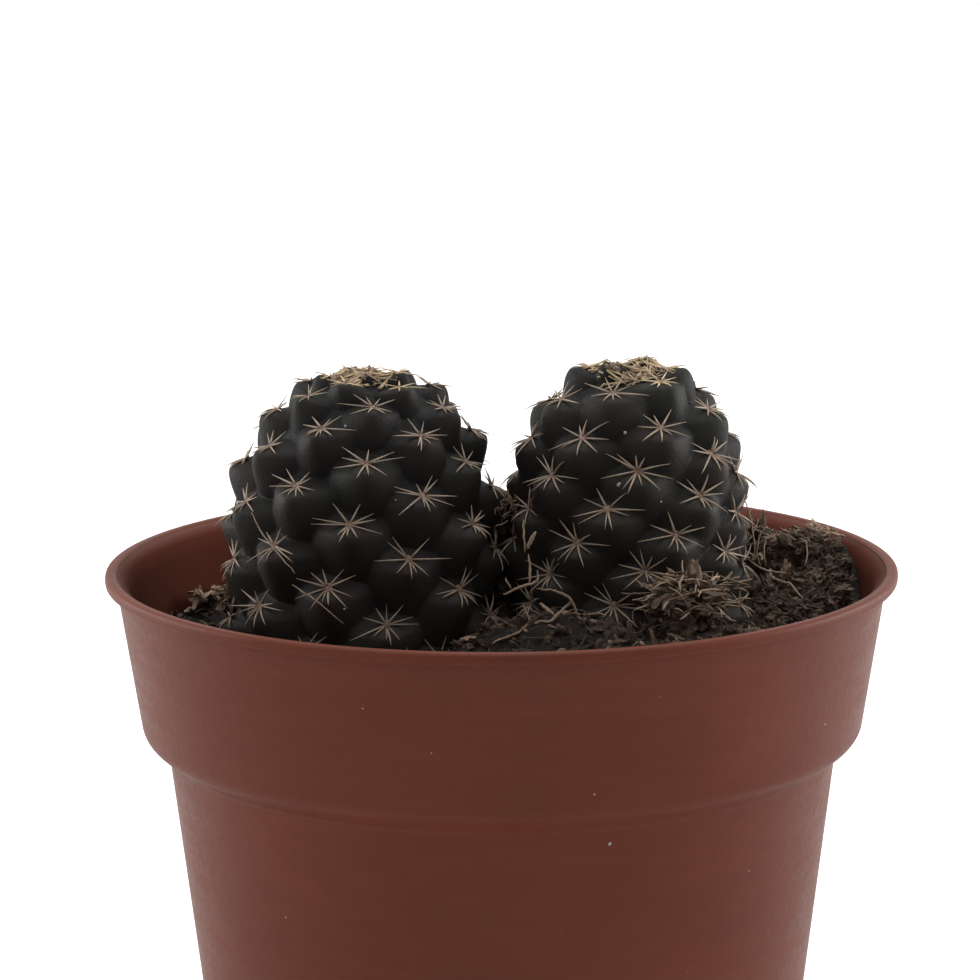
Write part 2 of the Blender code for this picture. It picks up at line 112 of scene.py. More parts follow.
class Batch:
    """Many small closed shapes in one mesh, each with a place along it and a tint."""

    def __init__(self):
        self.points = []
        self.faces = []
        self.along = []
        self.tint = []

    def tube(self, path, radii, sides, tint):
        """A thin round body along a path, with a flat end at either end."""
        first = len(self.points)
        count = len(path)
        side_way = (path[1] - path[0]).normalized().orthogonal().normalized()
        for index, place in enumerate(path):
            ahead = path[min(index + 1, count - 1)] - path[max(index - 1, 0)]
            ahead.normalize()
            side_way = (side_way - ahead * side_way.dot(ahead)).normalized()
            other = ahead.cross(side_way)
            for angle in full_turn(sides):
                offset = side_way * math.cos(angle) + other * math.sin(angle)
                self.points.append(place + offset * radii[index])
                self.along.append(index / (count - 1))
        for low in range(first, first + (count - 1) * sides, sides):
            high = low + sides
            for side in range(sides):
                following = (side + 1) % sides
                self.faces.append((low + side, low + following, high + following, high + side))
        self.faces.append(tuple(first + side for side in reversed(range(sides))))
        last = first + (count - 1) * sides
        self.faces.append(tuple(last + side for side in range(sides)))
        self.tint += [tint] * (count * sides)

    def lump(self, shape, place, size, turn, tint, seed, rough):
        """A crumb: a ball of points pushed in and out by noise."""
        points, faces = shape
        first = len(self.points)
        shift = Vector((seed, seed * 1.7, seed * 2.3))
        for point in points:
            stretch = 1.0 + rough * noise.noise(point * 1.6 + shift)
            local = Vector(part * half for part, half in zip(point * stretch, size))
            self.points.append(place + turn @ local)
            self.along.append(0.5 + 0.5 * point.z)
            self.tint.append(tint)
        self.faces += [tuple(first + corner for corner in face) for face in faces]

    def make(self, name, finish, smooth=True):
        points = [tuple(point) for point in self.points]
        return make_object(name, points, self.faces, finish, smooth,
                           {"along": self.along, "tint": self.tint})


def ball(subdivisions):
    """Points and faces of a unit icosphere."""
    form = bmesh.new()
    bmesh.ops.create_icosphere(form, subdivisions=subdivisions, radius=1.0)
    points = [vertex.co.copy() for vertex in form.verts]
    faces = [tuple(vertex.index for vertex in face.verts) for face in form.faces]
    form.free()
    return points, faces


COARSE_BALL, FINE_BALL = ball(2), ball(3)


def random_way(dice, spread=1.0):
    return Vector((dice.gauss(0, spread), dice.gauss(0, spread), dice.gauss(0, spread)))


def random_turn(dice):
    axis = random_way(dice).normalized()
    return Quaternion(axis, dice.uniform(0, 2 * math.pi))


def bent_path(start, way, lift, length, bend, steps):
    """Points along a gently curved shaft."""
    shares = [step / steps for step in range(steps + 1)]
    return [start + way * (length * share) + lift * (bend * length * share * share) for share in shares]


def pointed(radius, loss, steps):
    """Radii along a shaft that is thick at its foot and loses this share of it at its point."""
    return [radius * (1.0 - loss * (step / steps) ** 1.6) for step in range(steps + 1)]


def thin_ended(radius, loss, steps):
    """Radii along a strand that loses this share at both of its ends."""
    return [radius * (1.0 - loss * abs(2 * step / steps - 1) ** 3) for step in range(steps + 1)]


def search_tree(item):
    mesh = item.data
    points = [vertex.co for vertex in mesh.vertices]
    faces = [tuple(polygon.vertices) for polygon in mesh.polygons]
    return BVHTree.FromPolygons(points, faces)


def clearance(tree, point):
    """Distance from a surface, negative on its inner side."""
    place, normal, _, distance = tree.find_nearest(point)
    return distance if (point - place).dot(normal) > 0.0 else -distance


# ---------------- material helpers

class Nodes:
    """A material's node tree with short ways to add and link nodes."""

    def __init__(self, name):
        self.material = bpy.data.materials.new(name)
        self.material.use_nodes = True
        self.tree = self.material.node_tree
        self.shader = self.tree.nodes["Principled BSDF"]
        self.place = self.add("ShaderNodeTexCoord").outputs["Object"]

    def add(self, kind, **settings):
        node = self.tree.nodes.new(kind)
        for key, value in settings.items():
            setattr(node, key, value)
        return node

    def feed(self, target, given):
        """Set an input to a number or a colour, or link a socket to it."""
        if isinstance(given, tuple):
            target.default_value = (*given, 1.0)
        elif isinstance(given, (int, float)):
            target.default_value = given
        else:
            self.tree.links.new(given, target)

    def noise(self, scale, detail, roughness=0.55, stretch=None):
        """Noise with a feature size of 1/scale metres, 0 to 1."""
        node = self.add("ShaderNodeTexNoise")
        for key, number in (("Scale", scale), ("Detail", detail), ("Roughness", roughness)):
            node.inputs[key].default_value = number
        source = self.place
        if stretch:
            mapping = self.add("ShaderNodeMapping")
            mapping.inputs["Scale"].default_value = stretch
            self.feed(mapping.inputs["Vector"], self.place)
            source = mapping.outputs["Vector"]
        self.feed(node.inputs["Vector"], source)
        return node.outputs["Fac"]

    def cells(self, scale):
        """Distance from the nearest of many points strewn 1/scale metres apart."""
        node = self.add("ShaderNodeTexVoronoi")
        node.inputs["Scale"].default_value = scale
        self.feed(node.inputs["Vector"], self.place)
        return node.outputs["Distance"]

    def value(self, name):
        """A named per-point value of the mesh."""
        return self.add("ShaderNodeAttribute", attribute_name=name).outputs["Fac"]

    def dryness(self):
        """0 in the damp peat round the heads, 1 on the dry heaps to the right."""
        parts = self.add("ShaderNodeSeparateXYZ")
        self.feed(parts.inputs[0], self.place)
        return self.curve(parts.outputs["X"], 9.0 * MM, 21.0 * MM)

    def curve(self, source, low, high, start=0.0, end=1.0):
        """Source from low..high mapped to start..end and held there."""
        node = self.add("ShaderNodeMapRange", clamp=True)
        self.feed(node.inputs["Value"], source)
        for key, number in zip(("From Min", "From Max", "To Min", "To Max"), (low, high, start, end)):
            node.inputs[key].default_value = number
        return node.outputs["Result"]

    def mix(self, share, first, second):
        """Two colours, each a tuple or a socket, mixed by a share that is a number or a socket."""
        node = self.add("ShaderNodeMix", data_type="RGBA")
        for given, target in ((share, node.inputs[0]), (first, node.inputs[6]), (second, node.inputs[7])):
            self.feed(target, given)
        return node.outputs[2]

    def math(self, operation, first, second):
        node = self.add("ShaderNodeMath", operation=operation)
        self.feed(node.inputs[0], first)
        self.feed(node.inputs[1], second)
        return node.outputs[0]

    def finish(self, colour, roughness, relief, depth, specular=0.5):
        """The material, with its colour, roughness, relief of this depth and shine set."""
        bump = self.add("ShaderNodeBump")
        bump.inputs["Distance"].default_value = depth
        bump.inputs["Strength"].default_value = 1.0
        self.feed(bump.inputs["Height"], relief)
        for key, given in (("Base Color", colour), ("Roughness", roughness),
                           ("Normal", bump.outputs["Normal"]), ("Specular IOR Level", specular)):
            self.feed(self.shader.inputs[key], given)
        return self.material


# ---------------- materials

def pot_material():
    """Thin moulded plastic: brown, faintly mottled, scuffed and satin, with painted shade inside."""
    nodes = Nodes("pot_plastic_finish")
    cloud = nodes.noise(38.0, 5.0, 0.6)
    streak = nodes.noise(90.0, 4.0, 0.6, (1.0, 1.0, 7.0))
    fine = nodes.noise(1500.0, 3.0, 0.6)
    colour = nodes.mix(nodes.curve(cloud, 0.35, 0.65), (0.110, 0.0275, 0.0150), (0.127, 0.0325, 0.0176))
    colour = nodes.mix(nodes.curve(streak, 0.45, 0.75, 0.0, 0.35), colour, (0.150, 0.0430, 0.0255))
    colour = nodes.mix(nodes.curve(fine, 0.60, 0.80, 0.0, 0.25), colour, (0.088, 0.0220, 0.0130))
    inside = nodes.value("inside")
    # painted shade: the pot's inner wall and floor are painted darker, as the shade inside the pot
    colour = nodes.mix(nodes.math("MULTIPLY", inside, 0.65), colour, (0.052, 0.0108, 0.0054))
    dust = nodes.curve(nodes.cells(420.0), 0.05, 0.02)
    where = nodes.curve(nodes.noise(300.0, 2.0), 0.62, 0.70)
    colour = nodes.mix(nodes.math("MULTIPLY", dust, where), colour, (0.42, 0.34, 0.28))
    rough = nodes.math("ADD", nodes.curve(nodes.math("ADD", streak, fine), 0.7, 1.3, 0.38, 0.52),
                       nodes.math("MULTIPLY", inside, 0.45))
    grain = nodes.math("ADD", nodes.math("MULTIPLY", fine, 0.35), nodes.noise(420.0, 3.0))
    return nodes.finish(colour, rough, grain, 0.04 * MM, 0.10)


def soil_material():
    """Dark peat with browner bits, drier and paler towards the heaps on the right."""
    nodes = Nodes("peat_finish")
    broad = nodes.noise(260.0, 6.0, 0.7)
    grit = nodes.noise(1400.0, 5.0, 0.7)
    damp = nodes.mix(nodes.curve(broad, 0.35, 0.7), (0.0040, 0.0030, 0.0025), (0.0125, 0.0090, 0.0068))
    dry = nodes.mix(nodes.curve(broad, 0.40, 0.62), (0.0070, 0.0053, 0.0040), (0.058, 0.0430, 0.0305))
    colour = nodes.mix(nodes.dryness(), damp, dry)
    colour = nodes.mix(nodes.curve(grit, 0.56, 0.72, 0.0, 0.7), colour, (0.085, 0.062, 0.044))
    relief = nodes.math("ADD", nodes.math("MULTIPLY", grit, 0.6), broad)
    return nodes.finish(colour, 0.95, relief, 0.4 * MM, 0.2)


def crumb_material():
    """Peat crumbs, from nearly black to tan by their tint, paler where the peat is drier."""
    nodes = Nodes("crumb_finish")
    tint = nodes.value("tint")
    grit = nodes.noise(1700.0, 5.0, 0.7)
    damp = nodes.mix(grit, (0.0055, 0.0042, 0.0034), (0.022, 0.0160, 0.0118))
    dry = nodes.mix(nodes.curve(grit, 0.3, 0.7), (0.011, 0.0084, 0.0064), (0.102, 0.075, 0.054))
    pale = nodes.mix(grit, (0.210, 0.132, 0.088), (0.520, 0.375, 0.280))
    colour = nodes.mix(tint, nodes.mix(nodes.dryness(), damp, dry), pale)
    return nodes.finish(colour, 0.93, grit, 0.3 * MM, 0.2)


def fibre_material():
    """Dry roots, coir and twigs, from brown to straw by their tint."""
    nodes = Nodes("fibre_finish")
    tint = nodes.value("tint")
    grain = nodes.noise(2600.0, 4.0, 0.6)
    brown = nodes.mix(grain, (0.030, 0.018, 0.011), (0.085, 0.052, 0.032))
    straw = nodes.mix(grain, (0.19, 0.125, 0.078), (0.42, 0.31, 0.22))
    colour = nodes.mix(tint, brown, straw)
    return nodes.finish(colour, 0.8, grain, 0.1 * MM, 0.3)


def skin_material():
    """Dark cactus skin: tubercles from olive to purple-brown, with painted shade making the grooves
    nearly black and painted light making the lower head paler.
    """
    nodes = Nodes("cactus_skin_finish")
    tip = nodes.value("tip")
    tone = nodes.value("tone")
    patch = nodes.noise(260.0, 3.0, 0.55)
    fine = nodes.noise(3600.0, 4.0, 0.65)
    pits = nodes.cells(3000.0)
    # painted light: the skin is painted paler towards the soil, standing in for light that hardly reaches
    # the lower head
    painted_fill = nodes.curve(nodes.value("painted_fill_depth"), 0.2, 0.95)
    # painted shade: each colour runs from nearly black in the grooves between tubercles to paler at their
    # tips
    olive = nodes.mix(painted_fill, nodes.mix(tip, (0.0066, 0.0067, 0.0063), (0.0200, 0.0192, 0.0148)),
                      nodes.mix(tip, (0.0240, 0.0226, 0.0208), (0.0390, 0.0355, 0.0300)))
    brown = nodes.mix(painted_fill, nodes.mix(tip, (0.0070, 0.0061, 0.0060), (0.0206, 0.0165, 0.0146)),
                      nodes.mix(tip, (0.0246, 0.0212, 0.0200), (0.0396, 0.0330, 0.0296)))
    blend = nodes.math("ADD", nodes.math("MULTIPLY", tone, 0.7), nodes.math("MULTIPLY", patch, 0.3))
    colour = nodes.mix(nodes.curve(blend, 0.3, 0.7), olive, brown)
    colour = nodes.mix(nodes.curve(fine, 0.60, 0.78, 0.0, 0.20), colour, (0.048, 0.043, 0.034))
    rough = nodes.curve(patch, 0.3, 0.7, 0.50, 0.62)
    relief = nodes.math("ADD", nodes.math("MULTIPLY", pits, -0.8), fine)
    return nodes.finish(colour, rough, relief, 0.03 * MM, 0.09)


def spine_material(name, base, middle, tip):
    """Spines: pinkish brown at the pad, pale along the shaft and amber at the point."""
    nodes = Nodes(name)
    along = nodes.value("along")
    tint = nodes.value("tint")
    grain = nodes.noise(3000.0, 3.0)
    colour = nodes.mix(nodes.curve(along, 0.0, 0.35), base, middle)
    colour = nodes.mix(nodes.curve(along, 0.75, 1.0), colour, tip)
    colour = nodes.mix(nodes.math("MULTIPLY", tint, 0.8), colour, (0.165, 0.118, 0.092))
    colour = nodes.mix(nodes.curve(grain, 0.5, 0.8, 0.0, 0.25), colour, (0.12, 0.080, 0.058))
    return nodes.finish(colour, 0.55, grain, 0.03 * MM, 0.3)


def wool_material():
    """Felt of the areole pads."""
    nodes = Nodes("areole_wool_finish")
    tint = nodes.value("tint")
    fuzz = nodes.noise(5200.0, 4.0, 0.7)
    colour = nodes.mix(fuzz, (0.17, 0.110, 0.082), (0.46, 0.35, 0.26))
    colour = nodes.mix(nodes.math("MULTIPLY", tint, 0.6), colour, (0.055, 0.035, 0.026))
    return nodes.finish(colour, 0.95, fuzz, 0.12 * MM, 0.2)


def lime_material():
    """Dried specks of lime and sand."""
    nodes = Nodes("lime_speck_finish")
    grain = nodes.noise(4200.0, 3.0, 0.6)
    return nodes.finish(nodes.mix(grain, (0.22, 0.19, 0.16), (0.60, 0.56, 0.50)), 0.85, grain, 0.05 * MM)


# ---------------- pot

WALL = 1.0 * MM
FLOOR = 1.4 * MM
LIP_DEPTH = 1.0 * MM
LIP_WIDTH = 1.3 * MM
LIP_ROUND = 0.45 * MM
LIP_FOOT_ROUND = 0.30 * MM
COLLAR_TOP = 41.3 * MM
COLLAR_FOOT = 39.0 * MM
COLLAR_HEIGHT = 18.6 * MM
SHOULDER_ROUND = 2.4 * MM
SHOULDER_SLOPE = math.radians(36.5)
SHOULDER_DROP = 1.5 * MM
BODY_TOP = 36.2 * MM
BASE_RADIUS = 30.6 * MM
BASE_ROUND = 1.2 * MM
POT_SEGMENTS = 240
WALL_ROWS = 40


def arc(centre, radius, start, end, steps):
    angles = [start + (end - start) * step / steps for step in range(steps + 1)]
    return [(centre[0] + x, centre[1] + y) for x, y in (polar(radius, angle) for angle in angles)]


def pot_outline():
    """Outer outline from the lip's crest to the middle of the base."""
    right, down = 0.0, -math.pi / 2
    lip_foot = POT_HEIGHT - LIP_DEPTH
    lean = math.atan((COLLAR_TOP - COLLAR_FOOT) / (COLLAR_HEIGHT - LIP_DEPTH))
    points = arc((RIM_RADIUS - LIP_ROUND, POT_HEIGHT - LIP_ROUND), LIP_ROUND, -down, right, 6)
    points += arc((RIM_RADIUS - LIP_FOOT_ROUND, lip_foot + 0.12 * MM), LIP_FOOT_ROUND, right, down, 4)
    points.append((COLLAR_TOP + 0.10 * MM, lip_foot - 0.22 * MM))
    points.append((COLLAR_TOP - 0.02 * MM, lip_foot - 0.42 * MM))
    centre = (COLLAR_FOOT - SHOULDER_ROUND, POT_HEIGHT - COLLAR_HEIGHT + SHOULDER_ROUND)
    points += arc(centre, SHOULDER_ROUND, -lean, SHOULDER_SLOPE + down, 10)
    last_radius, last_height = points[-1]
    corner = last_height - (last_radius - BODY_TOP) * math.tan(SHOULDER_SLOPE)
    for out, rise in ((0.35, 0.26), (0.06, -0.02), (-0.06, -0.45)):
        points.append((BODY_TOP + out * MM, corner + rise * MM))
    points += arc((BASE_RADIUS - BASE_ROUND, BASE_ROUND), BASE_ROUND, right, down, 6)
    return points


def wall_radius(height):
    """Radius of the pot's inner wall at a height."""
    foot = POT_HEIGHT - COLLAR_HEIGHT
    collar = COLLAR_FOOT + (COLLAR_TOP - COLLAR_FOOT) * (height - foot) / COLLAR_HEIGHT
    body = BASE_RADIUS + (BODY_TOP - BASE_RADIUS) * height / (foot - SHOULDER_DROP)
    shoulder = BODY_TOP + (height - foot + SHOULDER_DROP) / math.tan(SHOULDER_SLOPE)
    return min(collar, max(body, shoulder)) - WALL


def make_pot(finish):
    """The moulded pot, turned from the inside of its floor over the lip to its base.

    Points of the floor and the inner wall are marked as the inside for the material.
    """
    inner = [(BASE_RADIUS - WALL - BASE_ROUND, FLOOR)]
    levels = np.linspace(FLOOR + BASE_ROUND, POT_HEIGHT - LIP_DEPTH - 0.2 * MM, WALL_ROWS)
    inner += [(wall_radius(level), level) for level in levels]
    centre = (RIM_RADIUS - LIP_WIDTH + LIP_ROUND, POT_HEIGHT - LIP_ROUND)
    rim = arc(centre, LIP_ROUND, math.pi, math.pi / 2, 5)
    outline = inner + rim + pot_outline()
    points = [(*polar(radius, angle), height) for radius, height in outline
              for angle in full_turn(POT_SEGMENTS)]
    points += [(0.0, 0.0, FLOOR), (0.0, 0.0, 0.0)]
    inside = [float(row < len(inner)) for row in range(len(outline)) for _ in range(POT_SEGMENTS)]
    pot = make_object("moulded_pot", points, closed_grid(len(outline), POT_SEGMENTS), finish, True,
                      {"inside": inside + [1.0, 0.0]})
    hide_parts("pot")
    return pot


# ---------------- heads

# A tubercle: how far it juts out, and how far under its areole, with its reach up, down and sideways.
CHIN_REACH = 3.0 * MM
CHIN_RISE = 1.4 * MM
CHIN_SHELF = 2.2 * MM
CHIN_FALL = 5.2 * MM
CHIN_HALF_WIDTH = 4.2 * MM
CHIN_BLUNT = 0.2
CHIN_POWER = 1.9
# How level tubercles point over most of a head, and how suddenly that ends at the crown.
CHIN_LEVEL = 0.4
CHIN_TURN = 4.0
CHIN_BLEND = 6

CROWN_RELIEF = 0.6
CROWN_DEPTH = 3.0 * MM
CROWN_RIM = 1.6 * MM
CROWN_REACH = 4.0 * MM
CROWN_SPINES = 130
CROWN_TUFTS = 34

SKIN_ROWS = 205
SKIN_COLUMNS = 400
SKIN_CLEARANCE = 0.12 * MM
SKIN_UNEVEN = 0.22 * MM
SLOPE_STEP = 0.2 * MM
PRESSED_GAP = 0.15 * MM

SPINE_LENGTH = 3.9 * MM
SPINE_SHARES = (0.62, 0.75, 0.85, 0.95, 1.0, 1.12)
SPINE_BOW = 0.45
SPINE_STEPS = 6
YOUNG_STEPS = 5


@dataclass(frozen=True)
class Stem:
    """One head, with the same meaning and values as in the CAD source."""

    name: str
    x: float
    y: float
    top: float
    radius: float
    dome: float
    power: float
    lean: float
    turn: float
    twist: float
    start: float
    at_once: int
    patch: float
    crowding: float
    sink: float
    seed: int


LEFT = Stem("left_stem", x=-14.82 * MM, y=2.86 * MM, top=POT_HEIGHT + 20.50 * MM, radius=12.99 * MM,
            dome=18.67 * MM, power=1.94, lean=0.021, turn=math.radians(-149.30), twist=-45.5,
            start=5.352, at_once=1, patch=52.8 * MM * MM, crowding=24.55, sink=0.90 * MM, seed=11)
RIGHT = Stem("right_stem", x=13.73 * MM, y=3.80 * MM, top=POT_HEIGHT + 20.57 * MM, radius=10.74 * MM,
             dome=18.48 * MM, power=2.14, lean=0.012, turn=math.radians(-48.60), twist=-2.6,
             start=5.416, at_once=2, patch=31.0 * MM * MM, crowding=3.75, sink=0.69 * MM, seed=23)


@dataclass
class Areole:
    """A spine pad: its angle from the front, depth, distance down the skin, growth and rank."""

    angle: float
    depth: float
    along: float
    size: float
    rank: int


def soil_depth(stem):
    return stem.top - SOIL_LEVEL


def base_radius(stem, depth):
    """Radius between the tubercles, for a number or an array of depths."""
    up = np.clip(1.0 - np.asarray(depth) / stem.dome, 0.0, 1.0)
    return stem.radius * (1.0 - up ** stem.power) ** (1.0 / stem.power)


def skin_slope(stem, depth):
    """Slope of the skin between the tubercles, from upright to a quarter turn at the very top."""
    return np.arctan2(base_radius(stem, depth + SLOPE_STEP) - base_radius(stem, depth), SLOPE_STEP)


def stem_axis(stem, depth):
    """Middle of the head at a depth: x, y and z."""
    depth = np.asarray(depth)
    crown = np.clip(1.0 - depth / CROWN_DEPTH, 0.0, 1.0)
    x = stem.x + stem.lean * (0.5 * soil_depth(stem) - depth)
    return x, stem.y + 0.0 * depth, stem.top - depth - stem.sink * crown * crown


def skin_steps(stem, depths):
    """Length of the skin between each two of the depths."""
    return np.hypot(np.diff(depths), np.diff(base_radius(stem, depths)))


def running_total(steps):
    return np.concatenate([[0.0], np.cumsum(steps)])


def find_areoles(stem):
    """Areoles spiral down from the crown, each with an equal patch of skin once past it."""
    depths = np.arange(0.0, soil_depth(stem) + 3.0 * MM, 0.05 * MM)
    radii = base_radius(stem, depths)
    steps = skin_steps(stem, depths)
    along = running_total(steps)
    area = running_total(math.pi * (radii[1:] + radii[:-1]) * steps)
    found = []
    rank = 0
    while True:
        spirals = (rank + 0.5) * stem.at_once
        grown = 1.0 - math.exp(-spirals / stem.crowding)
        needed = stem.patch * (spirals - stem.crowding * grown)
        if needed > area[-1]:
            return found
        depth = float(np.interp(needed, area, depths))
        for twin in full_turn(stem.at_once):
            angle = stem.start + stem.turn * rank + twin + stem.twist * depth
            found.append(Areole(angle, depth, float(np.interp(depth, depths, along)),
                                math.sqrt(grown), rank))
        rank += 1


def chin(across, below, size):
    """Height of one tubercle, 0 to 1: a broad blunt chin that juts out under its areole."""
    down = below - CHIN_RISE * size
    length = np.where(down < 0.0, CHIN_SHELF, CHIN_FALL) * size
    side = np.abs(across) / (CHIN_HALF_WIDTH * size)
    distance = (side ** CHIN_POWER + (np.abs(down) / length) ** CHIN_POWER) ** (1 / CHIN_POWER)
    blunt = np.sqrt(distance ** 2 + CHIN_BLUNT ** 2) - CHIN_BLUNT
    return np.clip(1.0 - blunt, 0.0, 1.0)


def skin_heights(stem, spots, angles, depths, alongs):
    """Tubercle height and tone over an array of places on a head, neighbours blended softly."""
    radii = np.maximum(base_radius(stem, depths), 0.4 * MM)
    total = np.full(np.shape(angles), 1e-12)
    tones = np.zeros(np.shape(angles))
    dice = random.Random(stem.seed)
    for spot in spots:
        grow = 1.0 + dice.uniform(-0.12, 0.12)
        lean = dice.uniform(-0.10, 0.10)
        turn = (angles - spot.angle + math.pi) % (2 * math.pi) - math.pi
        below = alongs - spot.along
        height = chin(turn * radii + lean * below, below, spot.size)
        weight = (spot.size ** CROWN_RELIEF * grow * height) ** CHIN_BLEND
        total += weight
        tones += weight * (spot.rank * 0.618 % 1.0)
    return total ** (1 / CHIN_BLEND), tones / total


def skin_points(stem, spots, angles, depths, alongs):
    """Places on the tubercled skin, with their tubercle heights and tones.

    Tubercles point nearly level over most of a head, but straight up at the crown.
    """
    slope = skin_slope(stem, depths)
    heights, tones = skin_heights(stem, spots, angles, depths, alongs)
    tilt = slope * (CHIN_LEVEL + (1.0 - CHIN_LEVEL) * (slope / (0.5 * math.pi)) ** CHIN_TURN)
    reach = CHIN_REACH * heights
    x, y, z = stem_axis(stem, depths)
    out = base_radius(stem, depths) + reach * np.cos(tilt)
    points = np.stack([x + np.sin(angles) * out, y - np.cos(angles) * out,
                       z + reach * np.sin(tilt)], -1)
    return points, heights, tones


def press_back(stem, points, neighbour):
    """Flatten a head where it grows against its neighbour."""
    tree = search_tree(neighbour)
    edge = max(vertex.co.x for vertex in neighbour.data.vertices) + PRESSED_GAP
    for index in np.flatnonzero(points[:, 0] < edge):
        start = Vector((stem.x, stem.y, points[index, 2]))
        way = Vector(points[index]) - start
        share = 1.0
        while clearance(tree, start + way * share) < PRESSED_GAP:
            share -= 0.01
        points[index] = start + way * share


def make_head(stem, spots, neighbours, finish):
    """One head's skin, from the crown to just under the soil, where it closes."""
    total = soil_depth(stem) + 4.0 * MM
    share = (np.arange(SKIN_ROWS) + 0.5) / SKIN_ROWS
    depths = total * (0.35 * share ** 2.2 + 0.65 * share)
    angles, depths = np.meshgrid(full_turn(SKIN_COLUMNS), depths)
    fine = np.linspace(0.0, total, 3000)
    alongs = np.interp(depths, fine, running_total(skin_steps(stem, fine)))
    points, heights, tones = skin_points(stem, spots, angles, depths, alongs)
    points = points.reshape(-1, 3)
    shift = Vector((stem.seed, 0.0, 0.0))
    uneven = np.array([noise.noise(Vector(point) * 220.0 + shift) for point in points])
    outward = (points - (stem.x, stem.y, 0.0)) * (1.0, 1.0, 0.0)
    outward /= np.linalg.norm(outward, axis=1)[:, None] + 1e-9
    points += outward * (uneven * SKIN_UNEVEN)[:, None]
    for neighbour in neighbours:
        press_back(stem, points, neighbour)
    x, y, z = stem_axis(stem, 0.0)
    points = np.vstack([points, [[x, y, z], [x, y, stem.top - total]]])
    # 0 at the top to 1 at the soil, the share of the painted light that makes the lower head paler
    painted_fill_depth = np.append(np.clip(depths / soil_depth(stem), 0, 1), [0.0, 1.0])
    head = make_object(stem.name + "_skin", points.tolist(), closed_grid(SKIN_ROWS, SKIN_COLUMNS),
                       finish, True, {"tip": np.append(heights, [0.0, 0.0]),
                                      "tone": np.append(tones, [0.0, 0.0]), "painted_fill_depth": painted_fill_depth})
    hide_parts(stem.name)
    return head


def areole_frame(stem, spots, spot):
    """Seat, outward way and the two ways across an areole."""
    where = (np.array([number]) for number in (spot.angle, spot.depth, spot.along))
    seat = Vector(skin_points(stem, spots, *where)[0][0])
    tilt = float(skin_slope(stem, spot.depth))
    around = Vector((math.sin(spot.angle), -math.cos(spot.angle), 0.0))
    outward = (around * math.cos(tilt) + UP * (math.sin(tilt) + 0.30)).normalized()
    side = outward.cross(UP).normalized()
    return seat, outward, side, side.cross(outward)


def grow_spine(batch, tree, start, across, outward, length, thick, dice, tint):
    """One radial spine, raised until it clears the skin, and bowed back the more it is raised."""
    bend = dice.uniform(-0.04, 0.06)
    for degrees in range(4, 84, 5):
        angle = math.radians(degrees)
        way = across * math.cos(angle) + outward * math.sin(angle)
        path = bent_path(start, way, outward, length, bend - SPINE_BOW * math.sin(angle), SPINE_STEPS)
        if min(clearance(tree, point) for point in path[2:]) > SKIN_CLEARANCE:
            break
    batch.tube(path, pointed(0.5 * thick, 0.85, SPINE_STEPS), 6, tint)


def spine_fan(dice, count):
    """Directions round a pad, a quarter turn being straight up, with a gap there, and lengths."""
    gap = dice.uniform(0.15, 0.9)
    swing = dice.uniform(-0.35, 0.35)
    for number in range(count):
        share = (number + 0.5 + dice.uniform(-0.42, 0.42)) / count
        angle = math.pi / 2 + swing + gap / 2 + (2 * math.pi - gap) * share
        rise = math.sin(angle)
        longest = 1.06 - 0.50 * rise if rise > 0.0 else 1.06 + 0.28 * rise
        yield angle, longest * dice.choice(SPINE_SHARES)


def on_crown(stem, tree, x, y):
    """The point of a head's top under an offset from its middle."""
    above = Vector((stem.x + x, stem.y + y, stem.top + 6 * MM))
    return tree.ray_cast(above, -UP)[0]


def within_crown(dice, share=1.0):
    """A random offset from the middle of a crown."""
    angle = dice.uniform(0, 2 * math.pi)
    return polar(share * CROWN_REACH * math.sqrt(dice.random()), angle)


def grow_crown(stem, tree, young, wool, dice):
    """Interlaced young spines and tufts of felt that lie over the top of a head."""
    for _ in range(CROWN_SPINES):
        x, y = within_crown(dice)
        length = dice.uniform(1.8, 3.8) * MM
        half_x, half_y = polar(length / 2, math.atan2(y, x) + dice.gauss(math.pi / 2, 0.8))
        start = on_crown(stem, tree, x - half_x, y - half_y)
        end = on_crown(stem, tree, x + half_x, y + half_y)
        start.z += dice.uniform(-0.1, 0.3) * MM
        end.z += dice.uniform(-0.1, 0.4) * MM
        path = bent_path(start, (end - start).normalized(), UP, length, dice.uniform(-0.12, 0.12),
                         YOUNG_STEPS)
        young.tube(path, pointed(0.13 * MM, 0.80, YOUNG_STEPS), 5, dice.random() * 0.6)
    for _ in range(CROWN_TUFTS):
        hit = on_crown(stem, tree, *within_crown(dice, 0.85))
        size = dice.uniform(0.25, 0.55) * MM
        wool.lump(COARSE_BALL, hit, (size * 1.2, size, size * 0.6), random_turn(dice),
                  0.6 * dice.random(), dice.uniform(0, 50), 0.8)


